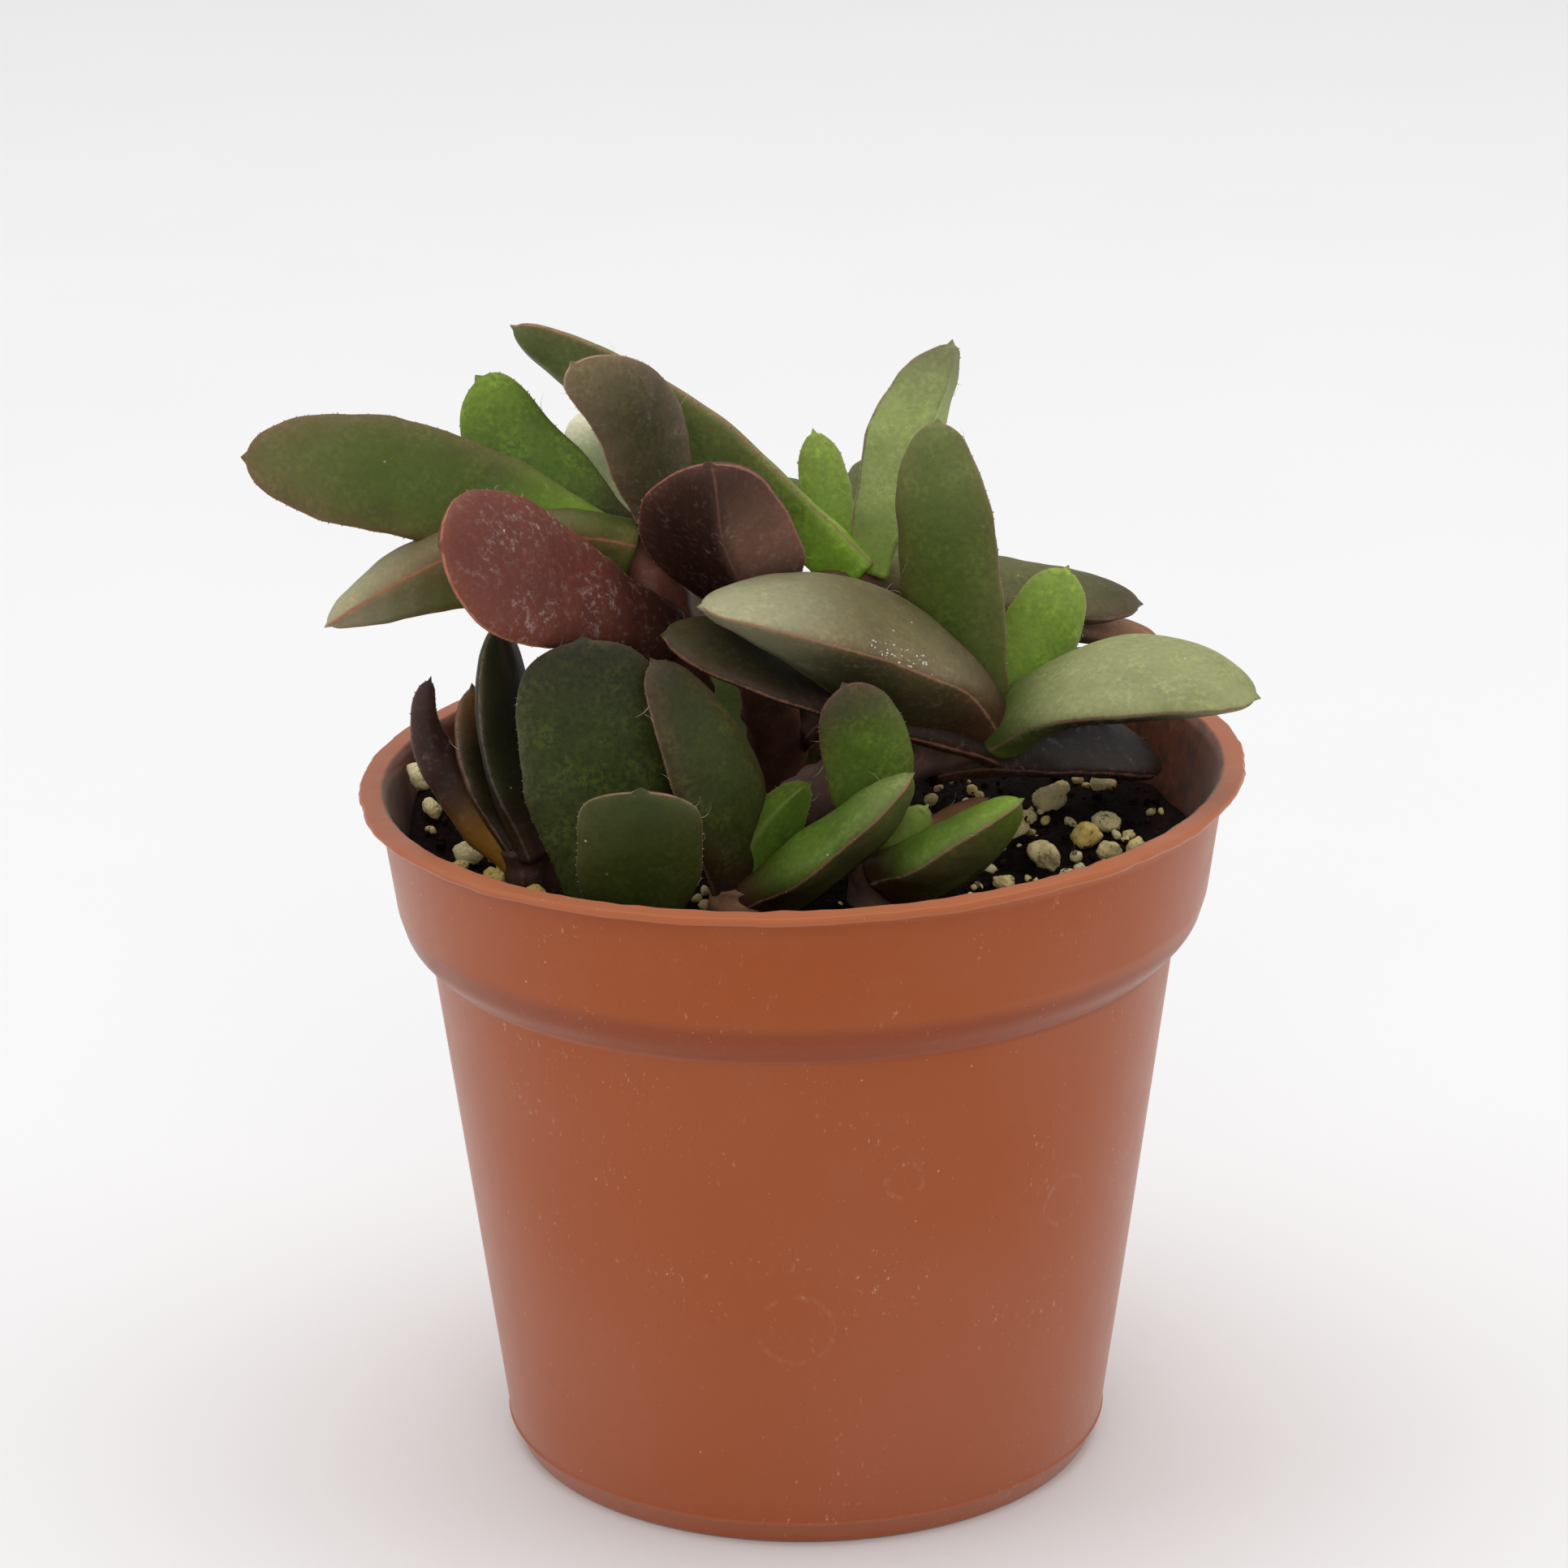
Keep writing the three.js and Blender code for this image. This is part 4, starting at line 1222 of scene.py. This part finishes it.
                 Tones(Hue.PINE, Hue.UMBER, Hue.SHADE_BLACK, Hue.CLAY, (118, 92, 72)), arch=-1),
            # Painted shade: this leaf has a dark green top and a near-black underside.
            Leaf((-24.5, -10, 63.5), (-28.5, -8, 85), (0.9, -0.3, 0.2), 12, 5,
                 Tones(Hue.PINE, Hue.SHADE_BLACK, Hue.UMBER, Hue.DUSK, (94, 84, 68), 0.3, 0.1, 0.2),
                 arch=-1),
        ),
    ),
    Shoot(
        "shoot_front", "leaf_front",
        Stem(((-6, -18.5, 48), (-6, -18.5, 53), (-5.9, -18.8, 58), (-5.8, -19, 63.5)),
             (2.2, 3), (150, 110, 82)),
        (
            Leaf((-6, -18, 61.5), (-13.5, -19.5, 85.2), (0.55, -0.75, 0.35), 9.8, 5,
                 Tones(Hue.BOTTLE, Hue.PINE, Hue.MAROON, Hue.PINE, (122, 88, 72), 0.85, 0.1, 0.35),
                 arch=3.2, blunt=1.9, tip_start=0.4),
            Leaf((-5.4, -18, 61.5), (0.6, -19, 73), (0.1, 0.9, -0.2), 6.6, 5,
                 Tones(Hue.LEAF, Hue.LEAF, Hue.LEAF, Hue.GRASS, (120, 106, 66), 0.5, 0.05, 0.1),
                 sway=0.8, blunt=1.4, tip_start=0.3, keel=0.95),
            Leaf((-5.5, -20, 61.8), (10, -24, 75.5), (-0.5, -0.12, 0.86), 9, 6,
                 Tones(Hue.LEAF, Hue.OLIVE, Hue.UMBER, Hue.FERN, (146, 104, 86), 0.55, 0.08, 0.1),
                 sway=1, neck=0.3, blunt=1.5, tip_start=0.3, keel=0.9, keel_at=-0.3, belly=1.2),
        ),
    ),
    Shoot(
        "shoot_front_right", "leaf_front_right",
        Stem(((6.5, -15, 48), (6.5, -15, 53), (7, -16, 58), (7.4, -17.2, 65.5)), (2.2, 3), (120, 96, 78)),
        (
            Leaf((7.5, -16, 65.5), (4, -20.5, 83), (0.2, -0.95, 0.3), 8.5, 4.5,
                 Tones(Hue.LEAF, Hue.DUSK, Hue.DUSK, Hue.DUSK, (112, 76, 64), 0.75, 0.1, 0.3),
                 sway=0.6),
            Leaf((7.5, -18, 64.5), (11.5, -20, 71), (0.1, -0.9, 0.3), 4, 3,
                 Tones(Hue.LIME, Hue.FERN, Hue.OLIVE, Hue.LIME, (124, 104, 76), 0.5)),
            Leaf((7, -19.5, 64), (20, -24, 73), (-0.3, 0.05, 0.95), 9.4, 6,
                 Tones(Hue.LEAF, Hue.OLIVE, Hue.UMBER, Hue.GRASS, (140, 106, 84), 0.5, 0.08, 0.1),
                 sway=1, neck=0.3, blunt=1.5, tip_start=0.3, keel=0.9, keel_at=-0.3, belly=1.3),
            Leaf((8, -15.5, 64), (17.5, -6, 67), (0, -0.5, 0.8), 3, 2,
                 Tones(Hue.CLAY, Hue.CLAY, Hue.CLAY, Hue.CLAY, (150, 110, 80), 0.1, 0.2)),
        ),
    ),
    Shoot(
        "shoot_back", "leaf_back",
        Stem(((-8, 20, 48), (-8, 20, 53), (-8, 20, 57), (-8, 20, 62.5)), (2.4, 3.4), (100, 76, 58)),
        (
            Leaf((-10, 20, 61), (-22, 27, 78), (0.7, -0.3, 0.5), 10, 4.5, GREEN, arch=-1),
            Leaf((-8, 21, 61), (-6, 31, 70), (0.1, -0.9, 0.4), 9, 4.5, GREEN, arch=-1),
            Leaf((-6, 19, 61), (5, 25, 69), (-0.8, -0.2, 0.5), 9, 4.5, GREEN, arch=-1),
        ),
    ),
)


# The pot

@dataclass(frozen=True)
class Pot:
    """A tapered plastic cup with a deep collar, a thin flange round its mouth and drain holes.

    Attributes:
        segments: Points round it.
        corners: Its outline from the middle of the underside round to the middle of the floor, as
            radius, height and the radius by which that corner is rounded.
        drain_holes: How many holes the floor has.
        drain_radius: Their radius.
        drain_circle: Radius of the circle that they lie on.
        rim: Radius of the circle on which the flange's irregularities are worked out.
        mouth: Radius of the one for those of the lip.
    """

    segments: int = 288
    corners: tuple[Vec, ...] = (
        (0, 0, 0), (28.4, 0, 0.5), (29.3, 2.2, 0), (29.5, 2.34, 0.08), (29.68, 2.5, 0.08),
        (29.5, 2.66, 0.08), (29.56, 2.9, 0), (32.75, 27.25, 0), (36, 52, 0.2), (36.8, 52.6, 0.4),
        (38.3, 54.2, 0.9),
        (39.1, 56.8, 0.35), (40.6, 67.4, 0.3), (42.3, 67.7, 0.2), (42.5, 68.1, 0.15), (42.3, 68.5, 0.15),
        (40.3, 68.5, 0.25), (39.8, 67.8, 0.4), (38.2, 57.4, 1.0), (36.7, 53.9, 1.0), (35.1, 52, 0.8),
        (27.5, 1.4, 0.8), (0, 1.4, 0),
    )
    drain_holes: int = 6
    drain_radius: float = 2.6
    drain_circle: float = 18.0
    rim: float = 42.0
    mouth: float = 40.0

    def outline(self) -> np.ndarray:
        """The outline with its corners rounded.

        Each corner becomes a quadratic curve of six points that starts and ends its rounding
        radius away along the two sides, and long sides get a point every three millimetres.

        Returns:
            Radius and height of each point.
        """
        corners = np.asarray(self.corners, float)
        places, rounding = corners[:, :2], corners[:, 2]
        dense = [places[0]]
        for i in range(1, len(places)):
            if i < len(places) - 1:
                before = unit(places[i - 1] - places[i]) * rounding[i]
                after = unit(places[i + 1] - places[i]) * rounding[i]
                t = np.linspace(0, 1, 6 if rounding[i] > 0 else 1)[:, None]
                bend = (1 - t) ** 2 * (places[i] + before) + 2 * t * (1 - t) * places[i]
                bend = bend + t**2 * (places[i] + after)
            else:
                bend = places[i][None]
            gap = bend[0] - dense[-1]
            steps = max(int(np.ceil(np.hypot(*gap) / 3.0)), 1)
            dense += [dense[-1] + gap * k / steps for k in range(1, steps)]
            dense += list(bend)
        return np.array(dense)

    def shell(self) -> Patch:
        """The outline turned about the upright axis.

        A point's radius is the outline's, with the flange's outer edge moved by a ragged sum of
        sines of the angle, and the whole is settled as the moulding is.

        Returns:
            The closed patch.
        """
        outline = self.outline()
        rings = outline[1:-1]
        turn = np.linspace(0, 2 * np.pi, self.segments, endpoint=False)
        radius = np.repeat(rings[:, :1], self.segments, 1)
        height = np.repeat(rings[:, 1:], self.segments, 1)
        circle = np.stack([np.cos(turn), np.sin(turn), np.zeros_like(turn)], -1)
        rim = circle * self.rim
        ragged = 0.07 * ripple(rim, 7.0, 3) + 0.05 * ripple(rim, 1.6, 4)
        nicks = -0.35 * np.clip(ripple(rim, 5.0, 9) - 1.25, 0, 1)
        flange = smoothstep(41.2, 42.2, radius)
        radius = radius + flange * np.minimum(ragged + nicks, 0.12)
        lip = np.exp(-(((radius - 40.3) / 0.4) ** 2)) * (height > 68.0)
        height = height + 0.05 * lip * ripple(circle * self.mouth, 3.0, 5)
        height = height + 0.06 * flange * ripple(rim, 12.0, 6)
        radius = radius + 0.08 * ripple(circle * 10, 26.0, 7) * smoothstep(4, 20, height)
        x, y = radius * np.cos(turn), radius * np.sin(turn)
        grid = np.stack([x, y, settle(x, height)], -1)
        return closed_skin(grid, np.array([0, 0, outline[0, 1]]), np.array([0, 0, outline[-1, 1]]))

    def drill(self) -> Patch:
        """The drain holes' plugs: upright cylinders on a circle, to be cut out of the floor."""
        turn = np.linspace(0, 2 * np.pi, 32, endpoint=False)
        edge = np.stack([np.cos(turn), np.sin(turn)], -1) * self.drain_radius
        foot, head = -2.0, 4.0
        heights = np.array([foot, head])[:, None, None]
        ring = np.concatenate([np.repeat(edge[None], 2, 0), np.repeat(heights, len(edge), 1)], -1)
        plug = closed_skin(ring, np.array([0, 0, foot]), np.array([0, 0, head]))
        angle = (np.arange(self.drain_holes) + 0.5) / self.drain_holes * 2 * np.pi
        places = np.stack([np.cos(angle), np.sin(angle), 0 * angle], -1) * self.drain_circle
        return scattered(plug, np.repeat(np.eye(3)[None], self.drain_holes, 0), places)

    def build(self) -> bpy.types.Object:
        """Builds the pot as one piece that stands for its solid."""
        piece = self.shell().to_object("pot_shell", PlasticFinish("pot_plastic").material())
        plugs = self.drill().to_object("drain_plugs", piece.data.materials[0])
        cut = piece.modifiers.new("drain_holes", "BOOLEAN")
        cut.operation, cut.solver, cut.object = "DIFFERENCE", "EXACT", plugs
        bpy.context.view_layer.update()
        cut_piece = piece.evaluated_get(bpy.context.evaluated_depsgraph_get())
        drilled = bpy.data.meshes.new_from_object(cut_piece)
        piece.modifiers.clear()
        piece.data = drilled
        bpy.data.objects.remove(plugs)
        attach(piece, BODY)
        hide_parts("pot")
        return piece


# The bed

@dataclass
class StoneDraw:
    """The seeded draw that lays the loose stones, the same as the solids'.

    Each number is the last one times 1664525 plus 1013904223, kept under 2^32 and divided by it.
    """

    state: int

    def next(self) -> float:
        """The next number, 0 to 1."""
        self.state = (self.state * 1664525 + 1013904223) % 4294967296
        return self.state / 4294967296


@dataclass(frozen=True)
class Bed:
    """Potting mix with pumice: the column of soil, crumbs, grit and stones.

    Attributes:
        profile: The column's side from its foot up, as radius and height.
        stones: Stones that can be seen, as x, y and size.
        loose: How many more are laid by the draw.
        seed: The draw's first number.
        clod_count: How many clods the top has.
        crumb_count: How many crumbs of each kind.
        grit_count: How many grains of each kind.
        strewn_to: How far from the axis they lie.
    """

    profile: tuple[tuple[float, float], ...] = (
        (27.2, 1.7), (34.8, 52.0), (36.4, 53.9), (37.9, 57.4),
    )
    stones: tuple[Vec, ...] = (
        (-36.7, 7.6, 4), (-35.7, 2.6, 2.6), (-32.2, -1.9, 3.2), (-29.6, -1.2, 2.6), (-27.6, -5.6, 3.9),
        (-29, -9.4, 3.2), (-25.2, -12.6, 2.6), (-33, -4.6, 2.4), (24.3, 9.8, 4.2), (20.3, 1.4, 3.9),
        (19.1, -11.8, 2.4), (23.3, -6.8, 4.9), (27.5, -1.4, 3.4), (29.5, 3.3, 3.2), (29.5, -5.2, 3.2),
        (32.2, -2.9, 2.4), (29.6, 14.8, 2.6), (16.8, 8.4, 2.8), (26.2, 4.8, 1.8), (22.2, 5.9, 1.8),
        (25.2, -11, 1.9), (26.4, -8.9, 1.7), (31.6, 0.8, 1.7),
    )
    loose: int = 16
    seed: int = 11
    clod_count: int = 420
    crumb_count: int = 110
    grit_count: int = 34
    strewn_to: float = 36.6

    def soil(self) -> Patch:
        """The column, its top a fine disc of rings raised by the soil's rise, clods and crumbs.

        The top's height is the level plus the rise, plus a few hundred small bells of random size,
        all fading to nothing at the wall.

        Returns:
            The closed patch.
        """
        turn = np.linspace(0, 2 * np.pi, 240, endpoint=False)
        edge = self.profile[-1][0]
        shares = np.linspace(1, 0.012, 90)
        level = np.full(len(shares), SOIL_TOP)
        ring_radius = np.concatenate([[r for r, _ in self.profile], edge * shares])
        ring_height = np.concatenate([[z for _, z in self.profile], level])
        top = (np.arange(len(ring_radius)) >= len(self.profile))[:, None]
        x, y = ring_radius[:, None] * np.cos(turn), ring_radius[:, None] * np.sin(turn)
        height = settle(x, ring_height[:, None])
        fade = 1 - smoothstep(0.965, 1.0, ring_radius / edge)[:, None]
        height = height + top * (soil_rise(x, y) + self.clods(x, y) * fade)
        grid = np.stack([x, y, height], -1)
        middle = np.array([0, 0, grid[-1, :, 2].mean()])
        return closed_skin(grid, np.array([0, 0, self.profile[0][1]]), middle).marked(fresh=0.0)

    def clods(self, x: np.ndarray, y: np.ndarray) -> np.ndarray:
        """Height of the clods at places on the soil: the sum of many small bells."""
        rng = np.random.default_rng(21)
        count = self.clod_count
        reach, angle = 37 * np.sqrt(rng.random(count)), rng.uniform(0, 2 * np.pi, count)
        size, rise = rng.uniform(0.5, 1.7, count), rng.uniform(-0.35, 0.75, count)
        height = np.zeros_like(x)
        for cx, cy, s, h in zip(reach * np.cos(angle), reach * np.sin(angle), size, rise):
            height += h * np.exp(-(((x - cx) ** 2 + (y - cy) ** 2) / s**2))
        return height + 0.16 * ripple(np.stack([x, y, 0 * x], -1), 1.1, 5)

    def surface(self, x: np.ndarray, y: np.ndarray) -> np.ndarray:
        """Height of the soil's top at a place, without its clods."""
        return settle(x, np.full_like(x, SOIL_TOP)) + soil_rise(x, y)

    def strewn(self, rng: np.random.Generator, count: int, inner: float) -> tuple[np.ndarray, np.ndarray]:
        """Random places on the soil from the inner radius to the wall."""
        reach = np.sqrt(rng.uniform((inner / self.strewn_to) ** 2, 1, count)) * self.strewn_to
        angle = rng.uniform(0, 2 * np.pi, count)
        return reach * np.cos(angle), reach * np.sin(angle)

    def crumbs(self) -> Patch:
        """Peat crumbs and slivers of bark strewn over the soil."""
        rng = np.random.default_rng(31)
        count, patches = self.crumb_count, []
        kinds, sliver = 8, (2.6, 0.7, 0.4)
        for kind in range(kinds):
            x, y = self.strewn(rng, count, 0.0)
            size = rng.uniform(0.22, 0.75, (count, 1)) * rng.uniform(0.6, 1.0, (count, 3))
            if kind == kinds - 1:
                size = size * sliver
            places = np.stack([x, y, self.surface(x, y) + 0.45 * size.min(1) + 0.1], -1)
            grain = lump(rng, 5, 7, 5, 0.6)
            copies = scattered(grain, random_frames(rng, size), places)
            patches.append(copies.marked(fresh=0.12 * (kind % 4)))
        return Patch.joined(patches)

    def pumice(self) -> Patch:
        """The stones: lumpy grains, each stretched, turned and sunk in the soil as its solid is."""
        draw = StoneDraw(self.seed)
        laid = list(self.stones)
        while len(laid) < len(self.stones) + self.loose:
            angle, reach = draw.next() * 2 * np.pi, 35.5 * np.sqrt(draw.next())
            spot = (reach * np.cos(angle), reach * np.sin(angle), 2 + 2 * draw.next())
            if all(np.hypot(x - spot[0], y - spot[1]) > 3.4 for x, y, _ in laid):
                laid.append(spot)
        rng = np.random.default_rng(41)
        patches = []
        for x, y, size in laid:
            shape = np.array([1, 0.7 + 0.3 * draw.next(), 0.65 + 0.25 * draw.next()])
            tips = (draw.next() * 1.2, draw.next() * 1.2, draw.next() * 6)
            draw.next()
            frames = (turned_axes(tips) * (shape * size * 0.58))[None]
            centre = np.array([[x, y, float(self.surface(np.array(x), np.array(y))) + 0.27 * size]])
            stone = scattered(lump(rng, 24, 32, 11, 0.34), frames, centre)
            yellow = float(rng.random() ** 2 * 0.8)
            patches.append(stone.marked(yellow=yellow, soiled=float(rng.uniform(0.3, 1))))
        return Patch.joined(patches)

    def grit(self) -> Patch:
        """Fine pumice between the stones."""
        rng = np.random.default_rng(51)
        count, patches = self.grit_count, []
        for _ in range(6):
            x, y = self.strewn(rng, count, 16.0)
            size = rng.uniform(0.35, 0.95, (count, 1)) * rng.uniform(0.7, 1.0, (count, 3))
            places = np.stack([x, y, self.surface(x, y) + 0.3 * size[:, 0] + 0.2], -1)
            grain = scattered(lump(rng, 7, 10, 6, 0.5), random_frames(rng, size), places)
            patches.append(grain.marked(yellow=float(rng.uniform(0, 0.6)), soiled=0.8))
        return Patch.joined(patches)

    def build(self) -> list[bpy.types.Object]:
        """Builds the soil with its crumbs, and the pumice, which both stand for the bed's solid."""
        mix = Patch.joined([self.soil(), self.crumbs()])
        soil = mix.to_object("soil_mix", SoilFinish("peat").material())
        stones = Patch.joined([self.pumice(), self.grit()])
        pumice = stones.to_object("pumice", PumiceFinish("pumice_stone").material())
        for piece in (soil, pumice):
            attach(piece, BODY)
            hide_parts("soil")
        return [soil, pumice]


def turned_axes(tips: tuple[float, float, float]) -> np.ndarray:
    """The matrix that turns about Z, then Y, then X by these angles."""
    (cx, cy, cz), (sx, sy, sz) = np.cos(tips), np.sin(tips)
    about_x = np.array([[1, 0, 0], [0, cx, -sx], [0, sx, cx]])
    about_y = np.array([[cy, 0, sy], [0, 1, 0], [-sy, 0, cy]])
    about_z = np.array([[cz, -sz, 0], [sz, cz, 0], [0, 0, 1]])
    return about_x @ about_y @ about_z


# The studio

@dataclass(frozen=True)
class Studio:
    """The camera, a pale floor and soft light.

    Attributes:
        place: Where the camera stands.
        pitch: How far it looks down, in radians.
        yaw: How far it looks aside.
        roll: How far it is turned about its own axis.
        lens: Focal length on a 36 mm frame.
        floor_size: Side of the floor.
        floor_height: Height of the floor, just under the pot.
        world_color: Linear colour of the light from all round.
        world_strength: How strong that light is.
    """

    place: Vec = (0.0, -493.328, 234.304)
    pitch: float = 0.32755
    yaw: float = -0.0033437
    roll: float = -0.0089444
    lens: float = 124.333
    floor_size: float = 9000.0
    floor_height: float = -0.02
    world_color: tuple[float, float, float, float] = (1.0, 0.992, 0.985, 1.0)
    world_strength: float = 0.58

    def camera(self) -> None:
        """Places the camera: its axes are right, up and away from what it looks at."""
        cos_p, sin_p = np.cos(self.pitch), np.sin(self.pitch)
        forward = np.array([np.sin(self.yaw) * cos_p, np.cos(self.yaw) * cos_p, -sin_p])
        level = np.array([np.cos(self.yaw), -np.sin(self.yaw), 0.0])
        above = np.cross(level, forward)
        right = np.cos(self.roll) * level + np.sin(self.roll) * above
        up = np.cos(self.roll) * above - np.sin(self.roll) * level
        pose = np.eye(4)
        pose[:3, 0], pose[:3, 1], pose[:3, 2] = right, up, -forward
        pose[:3, 3] = np.array(self.place) * METRES
        lens = bpy.data.cameras.new("camera")
        lens.sensor_width, lens.lens, lens.clip_end = 36.0, self.lens, 50.0
        eye = bpy.data.objects.new("camera", lens)
        bpy.context.scene.collection.objects.link(eye)
        eye.matrix_world = pose.T.tolist()
        bpy.context.scene.camera = eye

    def floor(self) -> bpy.types.Object:
        """Lays a large pale floor just under the pot."""
        half = self.floor_size / 2
        steps = np.linspace(-half, half, 9)
        x, y = np.meshgrid(steps, steps, indexing="ij")
        points = np.stack([x, y, np.full_like(x, self.floor_height)], -1).reshape(-1, 3)
        number = np.arange(x.size).reshape(x.shape)
        quads = np.stack([number[:-1, :-1], number[1:, :-1], number[1:, 1:], number[:-1, 1:]], -1)
        sheet = Patch(points, quads.reshape(-1, 4), np.zeros((0, 3), int))
        piece = sheet.to_object("floor", FloorFinish("white_card").material())
        return piece

    def lamp(self, name: str, place: Vec, target: Vec, size: float, watts: float) -> None:
        """Hangs a soft square lamp that looks at a place."""
        light = bpy.data.lights.new(name, "AREA")
        light.shape, light.size, light.energy = "SQUARE", size * METRES, watts
        lamp = bpy.data.objects.new(name, light)
        bpy.context.scene.collection.objects.link(lamp)
        back = unit(np.subtract(place, target).astype(float))
        aside = unit(np.cross([0.0, 0.3, 1.0], back))
        pose = np.eye(4)
        pose[:3, 0], pose[:3, 1], pose[:3, 2] = aside, np.cross(back, aside), back
        pose[:3, 3] = np.array(place) * METRES
        lamp.matrix_world = pose.T.tolist()

    def light(self) -> None:
        """Pale surroundings, a wide lamp overhead and smaller ones in front and on each side."""
        world = bpy.data.worlds.new("studio")
        world.use_nodes = True
        ground = world.node_tree.nodes["Background"]
        ground.inputs["Color"].default_value = self.world_color
        ground.inputs["Strength"].default_value = self.world_strength
        bpy.context.scene.world = world
        self.lamp("overhead", (0, 260, 1400), (0, 120, 0), 1500, 10.0)
        self.lamp("left", (-900, -60, 420), (0, 0, 50), 800, 1.8)
        self.lamp("right", (900, 60, 420), (0, 0, 50), 800, 1.8)
        self.lamp("front", (0, -1000, 650), (0, 0, 40), 900, 2.5)

    def build(self) -> None:
        """Sets up the camera, the floor and the light, shown as they are without a film look."""
        self.camera()
        self.floor()
        self.light()
        bpy.context.scene.view_settings.view_transform = "Standard"


def report(piece: bpy.types.Object) -> None:
    """Logs a piece's name and size."""
    LOG.info("%s: %d faces", piece.name, len(piece.data.polygons))


def main() -> None:
    """Builds the pot, the bed and the shoots in the studio, and reports each piece."""
    logging.basicConfig(level=logging.INFO, format="%(name)s: %(message)s")
    Studio().build()
    report(Pot().build())
    for piece in Bed().build():
        report(piece)
    for number, shoot in enumerate(SHOOTS):
        report(shoot.build(FIRST_SEED + SEED_STEP * number))


if __name__ == "__main__":
    main()
